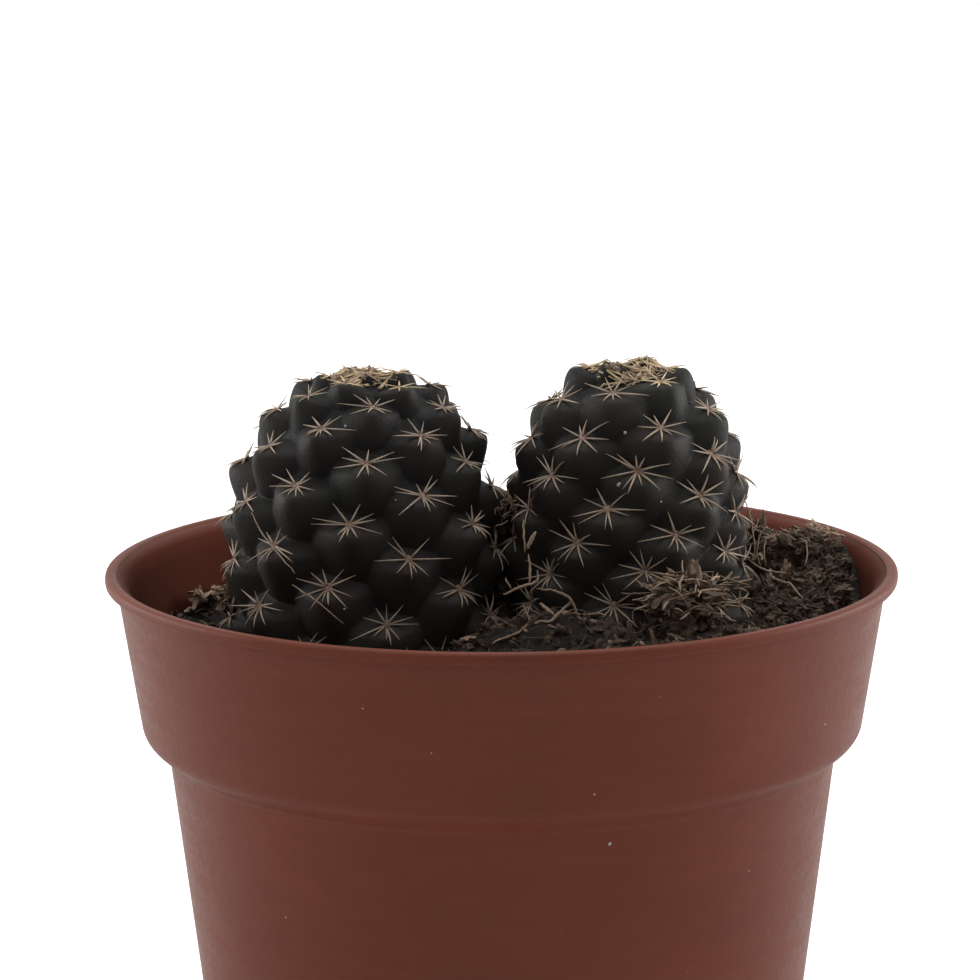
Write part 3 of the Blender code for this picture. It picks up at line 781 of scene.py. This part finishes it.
def make_spines(stem, spots, head, finishes):
    """Stars of spines and their woolly pads, and the tangle of young ones over the crown."""
    dice = random.Random(stem.seed + 100)
    tree = search_tree(head)
    stars, young, wool = Batch(), Batch(), Batch()
    for spot in spots:
        if spot.depth > soil_depth(stem) + 1.0 * MM:
            continue
        seat, outward, side, up = areole_frame(stem, spots, spot)
        in_crown = spot.depth < CROWN_RIM
        batch = young if in_crown else stars
        start = seat + outward * SKIN_CLEARANCE
        for angle, share in spine_fan(dice, dice.randint(6, 8) if in_crown else dice.randint(9, 11)):
            across = side * math.cos(angle) + up * math.sin(angle)
            length = share * SPINE_LENGTH * (0.45 + 0.55 * spot.size)
            thick = dice.uniform(0.20, 0.30) * (0.5 + 0.5 * spot.size) * MM
            root = start + across * dice.uniform(0.10, 0.35) * MM
            tint = dice.random() * (0.3 + 0.7 * min(1.0, spot.depth / soil_depth(stem)))
            grow_spine(batch, tree, root, across, outward, length, thick, dice, tint)
        size = 0.46 * MM * (0.4 + 0.6 * spot.size)
        turn = Matrix((side, up, outward)).transposed().to_quaternion()
        wool.lump(COARSE_BALL, seat + outward * 0.02 * MM, (size, size * 1.1, size * 0.55), turn,
                  dice.random(), dice.uniform(0, 50), 0.6)
    grow_crown(stem, tree, young, wool, dice)
    made = []
    for batch, label, finish in zip((stars, young, wool), ("spines", "young_spines", "areole_wool"),
                                    finishes):
        piece = batch.make(f"{stem.name}_{label}", finish)
        made.append(piece)
    return made


# ---------------- soil

# Heaps as (x, y, spread, height) in millimetres, as in the CAD source.
SOIL_HEAPS = ((31, 19, 17, 5.4), (39, 11, 8.5, 4.2), (21, -17, 11, 4.4), (4.5, -11.5, 8.5, 5.2))
# Finer lumps as (height mm, width mm, place in the noise, whether they are ridged).
SOIL_LUMPS = ((0.45, 5.0, (0, 0, 0), False), (0.60, 2.2, (7, 0, 0), False),
              (0.45, 1.3, (0, 9, 0), True), (0.22, 0.55, (3, 3, 0), True))
SOIL_RINGS = 165
SOIL_COLUMNS = 420
SOIL_SKIRT = 6.0 * MM
SOIL_GAP = 0.05 * MM


def soil_height(x, y):
    """The CAD soil's surface with finer lumps and clods on it."""
    level = SOIL_LEVEL
    for heap_x, heap_y, spread, height in SOIL_HEAPS:
        distance = math.hypot(x - heap_x * MM, y - heap_y * MM) / (spread * MM)
        level += height * MM * math.exp(-distance * distance)
    for height, width, shift, ridged in SOIL_LUMPS:
        lump = noise.noise(Vector((x, y, 0.0)) / (width * MM) + Vector(shift))
        level += height * MM * (abs(lump) if ridged else lump)
    return level


def make_soil(finish):
    """The peat's surface as a disc that meets the wall, closed underneath by a skirt and a bottom."""
    bottom = SOIL_LEVEL - SOIL_SKIRT
    angles = full_turn(SOIL_COLUMNS)
    points = [(*polar(wall_radius(bottom) - 2 * SOIL_GAP, angle), bottom) for angle in angles]
    for ring in range(SOIL_RINGS):
        radius = (wall_radius(SOIL_LEVEL) - SOIL_GAP) * (1.0 - ring / SOIL_RINGS)
        for angle in angles:
            x, y = polar(radius, angle)
            height = soil_height(x, y)
            if ring == 0:
                x, y = polar(wall_radius(height) - SOIL_GAP, angle)
            points.append((x, y, height))
    points += [(0.0, 0.0, bottom), (0.0, 0.0, soil_height(0.0, 0.0))]
    soil = make_object("peat_surface", points, closed_grid(SOIL_RINGS + 1, SOIL_COLUMNS), finish)
    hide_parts("potting_soil")
    return soil


# ---------------- crumbs

@dataclass(frozen=True)
class Crumb:
    """A kind of crumb: its size in millimetres, its half lengths over that, and its roughness.

    Two numbers in brackets are the limits of a random draw.
    """

    size: tuple
    halves: tuple
    rough: float

    def draw_size(self, dice):
        return dice.uniform(*self.size) * MM

    def draw_halves(self, dice, size):
        return tuple(size * (dice.uniform(*part) if isinstance(part, tuple) else part)
                     for part in self.halves)


GRAIN = Crumb((0.16, 0.55), ((0.9, 2.6), (0.6, 1.1), (0.35, 0.8)), 1.1)
CLOD = Crumb((0.6, 1.3), ((0.9, 1.6), (0.7, 1.1), (0.5, 0.8)), 1.3)
BANK_GRAIN = Crumb((0.25, 0.75), ((0.9, 1.8), (0.6, 1.1), (0.4, 0.9)), 1.2)
PALE_CHIP = Crumb((0.35, 0.65), ((1.2, 2.0), (0.4, 0.8), 0.4), 1.0)
CLUMP_FLAKE = Crumb((0.3, 0.85), ((1.0, 2.4), (0.6, 1.0), (0.2, 0.7)), 1.1)
CAUGHT_CRUMB = Crumb((0.35, 0.8), (1.0, (0.7, 1.2), (0.6, 1.1)), 1.0)

GRAINS = 2600
CLODS = 150
BANK_GRAINS = 1500
# Middle and spread of the crumbly bank along X and Y in millimetres, and where it starts.
BANK = ((32.5, 6.0), (11.0, 8.0))
BANK_EDGE = 24.0 * MM
# Places of pale chips on the soil as (x mm, y mm, count).
PALE_CHIPS = ((31.0, 22.3, 14), (36.0, 11.8, 14), (35.6, 14.5, 10), (31.7, 7.7, 4), (24.6, -30.0, 2),
              (-32.5, 20.0, 22), (-34.5, 15.0, 16), (-30.5, 23.5, 12), (1.0, -24.0, 4), (9.0, -26.0, 4))
CHIP_SPREAD = 0.7 * MM

# Clumps as (name, CAD node, crumbs, fibres, paleness, their width over the node's).
CLUMPS = (("front_peat_clump", "peat_clump_front", 190, 170, 0.7, 1.0),
          ("back_peat_clump", "peat_clump_back", 130, 25, 0.35, 1.0),
          ("right_peat_crumb", "peat_crumb_right", 80, 40, 0.8, 1.5),
          ("left_bark_chip", "bark_chip_left", 60, 40, 1.0, 2.0))

# Middle of the cleft between the heads, how far litter fills it, and how much.
CLEFT = Vector((0.7 * MM, 3.3 * MM, 0.0))
CLEFT_FILL = POT_HEIGHT + 6.2 * MM
CAUGHT_CRUMBS = 170
CAUGHT_HAIRS = 70


def free_of_stems(x, y, spare):
    """Whether a crumb of that reach stays clear of both heads."""
    return all(math.hypot(x - stem.x, y - stem.y)
               >= base_radius(stem, soil_depth(stem) - 2.0 * MM) + 0.6 * MM + spare
               for stem in (LEFT, RIGHT))


def held(place, reach):
    """Whether something of this half length stays clear of the pot's wall."""
    wall = wall_radius(min(place.z, POT_HEIGHT))
    return math.hypot(place.x, place.y) + reach < wall - 0.2 * MM


def scatter(dice, spare):
    """A random free place on the soil."""
    reach = wall_radius(SOIL_LEVEL) - spare - 0.3 * MM
    while True:
        angle = dice.uniform(0, 2 * math.pi)
        x, y = polar(reach * math.sqrt(dice.random()), angle)
        if free_of_stems(x, y, spare):
            return x, y


def crumb_tint(dice):
    """Mostly dark peat, now and then a tan bit of bark or root."""
    return 0.22 * dice.random() if dice.random() < 0.86 else dice.uniform(0.35, 1.0)


def strew_grains(grains, dice):
    """Fine grains all over the soil, more of them on the heaps."""
    for _ in range(GRAINS):
        size = GRAIN.draw_size(dice)
        x, y = scatter(dice, size)
        height = soil_height(x, y)
        if dice.random() > 0.30 + 0.70 * min(1.0, (height - SOIL_LEVEL) / (2 * MM)):
            continue
        place = Vector((x, y, height + size * dice.uniform(0.0, 0.5)))
        halves = GRAIN.draw_halves(dice, size)
        if held(place, max(halves)):
            grains.lump(COARSE_BALL, place, halves, random_turn(dice), crumb_tint(dice),
                        dice.uniform(0, 99), GRAIN.rough)


def strew_clods(clods, dice):
    """Larger clods, on the heaps only."""
    for _ in range(CLODS):
        size = CLOD.draw_size(dice)
        x, y = scatter(dice, size)
        height = soil_height(x, y)
        if height < SOIL_LEVEL + dice.uniform(0.3, 4.5) * MM:
            continue
        place = Vector((x, y, height + size * dice.uniform(-0.2, 0.3)))
        halves = CLOD.draw_halves(dice, size)
        if held(place, 1.3 * max(halves)):
            clods.lump(FINE_BALL, place, halves, random_turn(dice), 0.25 * dice.random(),
                       dice.uniform(0, 99), CLOD.rough)


def strew_bank(bank, dice):
    """Grains heaped on the crumbly bank."""
    for _ in range(BANK_GRAINS):
        size = BANK_GRAIN.draw_size(dice)
        x, y = (dice.gauss(middle, spread) * MM for middle, spread in BANK)
        halves = BANK_GRAIN.draw_halves(dice, size)
        place = Vector((x, y, soil_height(x, y) + size * dice.uniform(-0.1, 0.7)))
        if held(place, max(halves)) and free_of_stems(x, y, size):
            bank.lump(COARSE_BALL, place, halves, random_turn(dice), 0.3 * dice.random() ** 2,
                      dice.uniform(0, 99), BANK_GRAIN.rough)


def strew_pale_chips(grains, dice):
    """Small groups of pale chips that lie on top of the peat."""
    for middle_x, middle_y, count in PALE_CHIPS:
        for _ in range(count):
            x = middle_x * MM + dice.gauss(0, CHIP_SPREAD)
            y = middle_y * MM + dice.gauss(0, CHIP_SPREAD)
            place = Vector((x, y, soil_height(x, y) + dice.uniform(0.8, 2.2) * MM))
            halves = PALE_CHIP.draw_halves(dice, PALE_CHIP.draw_size(dice))
            if held(place, max(halves)):
                grains.lump(COARSE_BALL, place, halves, random_turn(dice), dice.uniform(0.8, 1.0),
                            dice.uniform(0, 99), PALE_CHIP.rough)


def make_crumbs(finish):
    """Angular peat grains and flakes all over the soil, more and larger on the heaps."""
    dice = random.Random(5)
    grains, clods, bank = Batch(), Batch(), Batch()
    strew_grains(grains, dice)
    strew_clods(clods, dice)
    strew_bank(bank, dice)
    strew_pale_chips(grains, dice)
    pieces = [grains.make("peat_grains", finish, False), clods.make("peat_clods", finish, False),
              bank.make("bank_grains", finish, False)]
    return pieces


# ---------------- fibres and clumps

SOIL_FIBRES = 420
FIBRE_STEPS = 7
FIBRE_SINK = 0.03


def add_fibre(batch, dice, place, length, thick, curl, tint, rise=0.35):
    """A curly fibre that sets off in a random direction, if it stays inside the pot."""
    x, y = polar(1.0, dice.uniform(0, 2 * math.pi))
    way = Vector((x, y, dice.uniform(-0.1, rise))).normalized()
    path = [place]
    for _ in range(FIBRE_STEPS):
        way = (way + random_way(dice, curl) - UP * FIBRE_SINK).normalized()
        path.append(path[-1] + way * (length / FIBRE_STEPS))
    if all(held(point, thick) for point in path):
        batch.tube(path, thin_ended(0.5 * thick, 0.6, FIBRE_STEPS), 5, tint)


def make_fibres(finish):
    """Coir and root hairs strewn on the peat."""
    dice = random.Random(17)
    fibres = Batch()
    for _ in range(SOIL_FIBRES):
        x, y = scatter(dice, 1.0 * MM)
        height = soil_height(x, y)
        if dice.random() > 0.35 + (height - SOIL_LEVEL) / (3 * MM):
            continue
        add_fibre(fibres, dice, Vector((x, y, height + 0.15 * MM)), dice.uniform(1.5, 5.0) * MM,
                  dice.uniform(0.08, 0.2) * MM, 0.22, dice.random() ** 2)
    piece = fibres.make("soil_fibres", finish)
    return piece


def make_clump(name, node, crumb_count, fibre_count, paleness, spread, dice, finishes):
    """A CAD clump's place filled with crumbs and flakes and crossed by fibres."""
    low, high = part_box(node)
    middle, half = (low + high) / 2, (high - low) / 2
    half = Vector((half.x * spread, half.y * spread, half.z))
    crumbs, fibres = Batch(), Batch()
    for _ in range(crumb_count):
        spot = Vector((dice.gauss(0, 0.5), dice.gauss(0, 0.5), dice.gauss(-0.1, 0.5)))
        spot *= min(1.0, 0.85 / max(spot.length, 0.01))
        place = middle + spot * half
        halves = CLUMP_FLAKE.draw_halves(dice, CLUMP_FLAKE.draw_size(dice))
        if held(place, max(halves)):
            crumbs.lump(COARSE_BALL, place, halves, random_turn(dice), 0.6 * paleness * dice.random(),
                        dice.uniform(0, 99), CLUMP_FLAKE.rough)
    for _ in range(fibre_count):
        spot = Vector((dice.gauss(0, 0.45), dice.gauss(0, 0.45), dice.uniform(-0.2, 0.85)))
        add_fibre(fibres, dice, middle + spot * half, dice.uniform(1.5, 4.5) * MM,
                  dice.uniform(0.14, 0.32) * MM, 0.16, dice.random(), 0.08)
    body = crumbs.make(name, finishes[0], False)
    threads = fibres.make(name + "_fibres", finishes[1])
    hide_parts(node)
    return [body, threads]


def make_caught(dice, finishes):
    """Crumbs caught in the cleft between the heads, with fluff and hairs on top of them."""
    crumbs, hairs = Batch(), Batch()
    for _ in range(CAUGHT_CRUMBS):
        place = CLEFT + Vector((dice.gauss(0, 0.7 * MM), dice.gauss(0, 1.3 * MM),
                                dice.uniform(SOIL_LEVEL, CLEFT_FILL)))
        halves = CAUGHT_CRUMB.draw_halves(dice, CAUGHT_CRUMB.draw_size(dice))
        crumbs.lump(COARSE_BALL, place, halves, random_turn(dice), 0.12 * dice.random(),
                    dice.uniform(0, 99), CAUGHT_CRUMB.rough)
    for _ in range(CAUGHT_HAIRS):
        place = CLEFT + Vector((dice.gauss(0, 0.8 * MM), dice.gauss(-1.2 * MM, 1.5 * MM),
                                CLEFT_FILL + dice.uniform(-1.6, 0.3) * MM))
        add_fibre(hairs, dice, place, dice.uniform(1.2, 3.0) * MM, dice.uniform(0.10, 0.20) * MM,
                  0.55, dice.uniform(0.4, 1.0), 0.6)
    body = crumbs.make("caught_crumbs", finishes[0], False)
    fluff = hairs.make("caught_fluff", finishes[1])
    return [body, fluff]


# ---------------- strands and specks

# Loose strands: name, the CAD node they stand for, and (thickness mm, tint, route mm) of each.
STRANDS = (
    ("dry_root", "root_strand", (
        (0.42, 0.88, ((27.4, 17.0, -2.6), (28.5, 14.5, -3.2), (29.1, 11.7, -3.6), (29.7, 9.6, -3.8),
                      (30.0, 7.4, -4.5), (31.0, 5.8, -5.0), (32.1, 4.2, -5.6), (32.8, 2.2, -6.2))),
        (0.26, 0.60, ((26.0, 21.0, -3.0), (28.4, 19.4, -2.4), (31.0, 20.2, -2.4))),
        (0.20, 0.65, ((28.6, 14.6, -3.2), (27.2, 12.0, -3.7), (26.8, 9.0, -4.6))),
    )),
    ("dry_twigs", "dry_twig", (
        (0.42, 0.80, ((7.3, -12.7, -1.5), (5.9, -13.3, -2.9), (5.0, -13.7, -3.5), (3.6, -14.2, -3.9))),
        (0.32, 0.60, ((3.8, -14.2, -3.8), (1.8, -14.8, -4.4), (-0.6, -15.3, -5.2))),
        (0.42, 0.95, ((4.0, -12.4, -1.8), (4.8, -12.9, -2.4), (5.6, -13.3, -3.0))),
        (0.36, 0.62, ((3.6, -12.3, -0.3), (5.0, -12.5, -0.4), (6.4, -12.7, -0.8), (7.3, -12.9, -1.5),
                      (7.9, -13.1, -3.2), (8.2, -13.5, -5.0))),
        (0.38, 0.90, ((0.2, -11.9, -1.0), (1.2, -12.1, -0.5), (2.0, -12.3, -0.1), (3.0, -12.5, 0.2),
                      (3.8, -12.5, 0.7), (3.8, -12.4, 1.6))),
        (0.26, 0.70, ((0.4, -12.1, 0.8), (1.0, -12.4, -0.3))),
        (0.52, 0.85, ((2.7, -11.6, 3.8), (3.1, -11.6, 4.7), (3.6, -11.5, 5.6))),
        (0.26, 0.90, ((2.3, -10.9, 6.7), (2.4, -11.3, 5.0), (2.5, -11.6, 3.4))),
        (0.32, 0.85, ((2.8, -11.5, 3.2), (3.0, -12.0, 1.6), (3.0, -12.4, 0.2))),
        (0.28, 0.60, ((2.2, -12.7, -1.8), (2.7, -13.2, -2.9), (3.1, -13.7, -3.8))),
        (0.34, 0.85, ((-1.0, -14.9, -5.5), (0.0, -15.0, -5.0), (1.4, -14.9, -4.6))),
    )),
)
LOOSE_THREADS = (
    (0.20, 0.95, ((-21.8, -11.9, 0.2), (-20.4, -12.6, -0.6), (-18.9, -13.1, -1.6), (-16.4, -13.4, -3.7))),
    (0.18, 1.00, ((-26.3, -7.7, 7.0), (-24.9, -9.1, 4.9), (-23.2, -10.6, 3.1), (-21.5, -12.0, 1.4))),
    (0.24, 0.90, ((26.4, 3.0, 6.2), (27.0, 2.4, 4.4), (27.4, 2.2, 2.0), (27.6, 2.6, -0.8))),
    (0.24, 0.80, ((27.2, 2.8, 5.4), (26.6, 2.2, 3.6), (26.9, 2.4, 1.6))),
    (0.22, 0.95, ((28.0, 3.0, 4.0), (27.4, 2.6, 2.6), (26.6, 2.2, 1.4))),
    (0.22, 0.75, ((28.4, 3.4, 2.6), (27.8, 2.8, 0.8), (28.2, 2.6, -1.2))),
    (0.22, 0.85, ((29.0, 4.0, 1.8), (28.6, 3.4, 0.4), (28.9, 3.2, -1.4))),
    (0.26, 0.85, ((26.8, 2.6, -0.4), (28.4, 3.4, -1.6), (30.2, 5.2, -2.4), (32.0, 7.0, -3.0))),
    (0.24, 0.95, ((21.4, -15.6, 1.0), (19.6, -16.4, 1.5), (17.4, -16.2, 1.2), (15.4, -15.6, 1.9))),
    (0.28, 0.85, ((23.6, -14.2, -0.2), (21.6, -16.0, 0.3), (19.2, -17.0, 0.1), (17.0, -17.2, -0.6))),
    (0.28, 0.80, ((24.4, -13.4, -1.6), (22.4, -16.2, -1.0), (20.0, -17.4, -1.2), (18.2, -17.6, -2.0))),
)

STRAND_SIDES = 7
STRAND_STEPS = 5
STRAND_UNEVEN = 0.035 * MM
# How far strands stay over the soil among the bank's grains.
BANK_SPARE = 0.8 * MM


def smooth_route(points):
    """A Catmull-Rom curve through points given in millimetres, its height over the rim."""
    places = [Vector((x * MM, y * MM, POT_HEIGHT + z * MM)) for x, y, z in points]
    ends = len(places) - 1
    route = []
    for index in range(ends):
        start, end = places[index], places[index + 1]
        before, after = places[max(index - 1, 0)], places[min(index + 2, ends)]
        for step in range(STRAND_STEPS):
            share = step / STRAND_STEPS
            route.append(0.5 * (2 * start + (end - before) * share
                                + (2 * before - 5 * start + 4 * end - after) * share ** 2
                                + (3 * start - 3 * end + after - before) * share ** 3))
    return route + [places[-1]]


def make_strands(finish):
    """The dry root on the right, the twigs between the heads and the stray threads."""
    dice = random.Random(41)
    made = []
    for name, node, routes in (*STRANDS, ("stray_threads", None, LOOSE_THREADS)):
        strands = Batch()
        for thick, tint, points in routes:
            path = [place + random_way(dice) * STRAND_UNEVEN for place in smooth_route(points)]
            for place in path:
                spare = BANK_SPARE if place.x > BANK_EDGE else 0.0
                place.z = max(place.z, soil_height(place.x, place.y) + 0.5 * thick * MM + spare)
            radii = [radius * dice.uniform(0.85, 1.15)
                     for radius in thin_ended(0.4 * thick * MM, 0.7, len(path) - 1)]
            strands.tube(path, radii, STRAND_SIDES, tint)
        piece = strands.make(name, finish)
        if node:
            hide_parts(node)
        made.append(piece)
    return made


# Specks on the front, each (x mm, height over the rim mm, size mm).
POT_SPECKS = ((10.5, -21.1, 0.34), (8.9, -15.0, 0.20), (32.8, -12.4, 0.24), (-13.4, -6.3, 0.16),
              (-6.8, -10.5, 0.16), (-22.0, -31.0, 0.15), (25.0, -27.0, 0.14))
HEAD_SPECKS = ((13.1, 15.0, 0.34), (12.4, 9.9, 0.40), (16.8, 8.0, 0.26), (-16.3, 15.9, 0.30),
               (-11.0, 8.6, 0.20), (-16.4, -2.4, 0.26))


def make_specks(name, targets, specks, finish, dice):
    """Grains of lime or sand that stick to a front face."""
    trees = [search_tree(item) for item in targets]
    grains = Batch()
    for x, height, size in specks:
        start = Vector((x * MM, -0.1, POT_HEIGHT + height * MM))
        hits = [tree.ray_cast(start, Vector((0, 1, 0)))[0] for tree in trees]
        place = min((hit for hit in hits if hit is not None), key=lambda hit: hit.y)
        half = 0.5 * size * MM
        halves = (half * dice.uniform(0.9, 1.4), half * 0.8, half)
        grains.lump(COARSE_BALL, place, halves, random_turn(dice), 1.0, dice.uniform(0, 99), 0.6)
    piece = grains.make(name, finish)
    return piece


# ---------------- stage

WHITE = (1.0, 1.0, 1.0, 1.0)
# The camera's distance and rise are seen from the middle of the rim.
CAMERA_DISTANCE = 3.96 * 2 * RIM_RADIUS
CAMERA_RISE = math.radians(11.88)
CAMERA_PITCH = math.radians(10.56)
CAMERA_YAW = math.radians(-0.203)
CAMERA_ROLL = math.radians(-0.341)
CAMERA_LENS = 114.5
CAMERA_SENSOR = 36.0
WORLD_LIGHT = 0.42
FLOOR_REACH = 4.0
FLOOR_DROP = 0.2 * MM
# Lamps as (name, place, what it is aimed at, width, power).
LAMPS = (("overhead", (0.0, 0.05, 0.62), (0.0, 0.0, POT_HEIGHT), 0.55, 2.2),
         ("side", (-0.61, 0.17, 0.16), (0.0, 0.0, 0.7 * POT_HEIGHT), 0.5, 4.3),
         ("side", (0.61, 0.17, 0.16), (0.0, 0.0, 0.7 * POT_HEIGHT), 0.5, 4.9))


def make_camera():
    """A long lens that looks a little down on the pot."""
    rise, drop = CAMERA_DISTANCE * math.sin(CAMERA_RISE), math.sin(CAMERA_PITCH)
    place = Vector((0.0, -CAMERA_DISTANCE * math.cos(CAMERA_RISE), POT_HEIGHT + rise))
    level = math.cos(CAMERA_PITCH)
    forward = Vector((math.sin(CAMERA_YAW) * level, math.cos(CAMERA_YAW) * level, -drop))
    across = Vector((math.cos(CAMERA_YAW), -math.sin(CAMERA_YAW), 0.0))
    above = across.cross(forward)
    right = across * math.cos(CAMERA_ROLL) + above * math.sin(CAMERA_ROLL)
    upward = above * math.cos(CAMERA_ROLL) - across * math.sin(CAMERA_ROLL)
    lens = bpy.data.cameras.new("camera")
    lens.lens = CAMERA_LENS
    lens.sensor_width = CAMERA_SENSOR
    lens.clip_start = 0.01
    lens.clip_end = 20.0
    camera = add_object("camera", lens)
    turn = Matrix((right, upward, -forward)).transposed().to_4x4()
    camera.matrix_world = Matrix.Translation(place) @ turn
    bpy.context.scene.camera = camera


def make_lamp(name, place, target, size, power):
    """A soft square lamp aimed at a point."""
    light = bpy.data.lights.new(name, "AREA")
    light.shape = "SQUARE"
    light.size = size
    light.energy = power
    lamp = add_object(name, light)
    lamp.location = place
    lamp.rotation_euler = (Vector(target) - Vector(place)).to_track_quat("-Z", "Y").to_euler()


def make_world():
    """White to the camera and to reflections, an even grey light on everything else."""
    world = bpy.data.worlds.new("world")
    bpy.context.scene.world = world
    world.use_nodes = True
    tree = world.node_tree
    path = tree.nodes.new("ShaderNodeLightPath")
    seen = path.outputs["Is Camera Ray"]
    for ray in ("Is Glossy Ray", "Is Transmission Ray"):
        either = tree.nodes.new("ShaderNodeMath")
        either.operation = "MAXIMUM"
        tree.links.new(seen, either.inputs[0])
        tree.links.new(path.outputs[ray], either.inputs[1])
        seen = either.outputs[0]
    level = tree.nodes.new("ShaderNodeMapRange")
    level.inputs["To Min"].default_value = WORLD_LIGHT
    level.inputs["To Max"].default_value = 1.0
    tree.links.new(seen, level.inputs["Value"])
    background = tree.nodes["Background"]
    background.inputs["Color"].default_value = WHITE
    tree.links.new(level.outputs["Result"], background.inputs["Strength"])


def make_floor():
    """A pale floor that keeps the shadow and fades into the white background."""
    nodes = Nodes("floor_finish")
    path = nodes.add("ShaderNodeLightPath")
    away = nodes.add("ShaderNodeVectorMath", operation="LENGTH")
    nodes.feed(away.inputs[0], nodes.place)
    spread = nodes.curve(away.outputs["Value"], 0.12, 0.9, 0.32, 1.0)
    glow = nodes.math("MULTIPLY", path.outputs["Is Camera Ray"], spread)
    nodes.feed(nodes.shader.inputs["Emission Strength"], glow)
    nodes.shader.inputs["Emission Color"].default_value = WHITE
    nodes.shader.inputs["Base Color"].default_value = (0.86, 0.86, 0.86, 1.0)
    nodes.shader.inputs["Roughness"].default_value = 0.9
    corners = [(x * FLOOR_REACH, y * FLOOR_REACH, 0.0) for x, y in ((-1, -1), (1, -1), (1, 1), (-1, 1))]
    floor = make_object("floor", corners, [(0, 1, 2, 3)], nodes.material, False)
    floor.location.z = -FLOOR_DROP


# ---------------- everything

def make_plants(skin, spine_finishes):
    """Both heads with all that grows on them, and the pieces they are made of."""
    heads, pieces = [], []
    for stem in (LEFT, RIGHT):
        spots = find_areoles(stem)
        head = make_head(stem, spots, heads, skin)
        heads.append(head)
        spines, young_spines, wool = make_spines(stem, spots, head, spine_finishes)
        stars = [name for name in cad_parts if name.startswith(stem.name + "_spines")]
        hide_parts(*stars)
        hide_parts(stem.name + "_crown_spines")
        pieces += [head, spines, young_spines, wool]
    return heads, pieces


def main():
    """The stage and every piece of the potted cactus."""
    bpy.context.scene.view_settings.view_transform = "Standard"
    make_camera()
    make_world()
    make_floor()
    for row in LAMPS:
        make_lamp(*row)

    peat, crumb, fibre = soil_material(), crumb_material(), fibre_material()
    skin, wool = skin_material(), wool_material()
    spine = spine_material("spine_finish", (0.205, 0.132, 0.104), (0.370, 0.292, 0.215),
                           (0.345, 0.258, 0.182))
    gold = spine_material("crown_spine_finish", (0.30, 0.200, 0.110), (0.64, 0.500, 0.310),
                          (0.46, 0.330, 0.190))

    pot = make_pot(pot_material())
    pieces = [pot, make_soil(peat), *make_crumbs(crumb), make_fibres(fibre)]
    heads, plants = make_plants(skin, (spine, gold, wool))
    pieces += plants
    dice = random.Random(3)
    for row in CLUMPS:
        pieces += make_clump(*row, dice, (crumb, fibre))
    pieces += make_caught(dice, (crumb, fibre))
    pieces += make_strands(fibre)
    lime = lime_material()
    pieces.append(make_specks("pot_specks", [pot], POT_SPECKS, lime, dice))
    pieces.append(make_specks("head_specks", heads, HEAD_SPECKS, lime, dice))
    for piece in pieces:
        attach(piece, "root")


main()
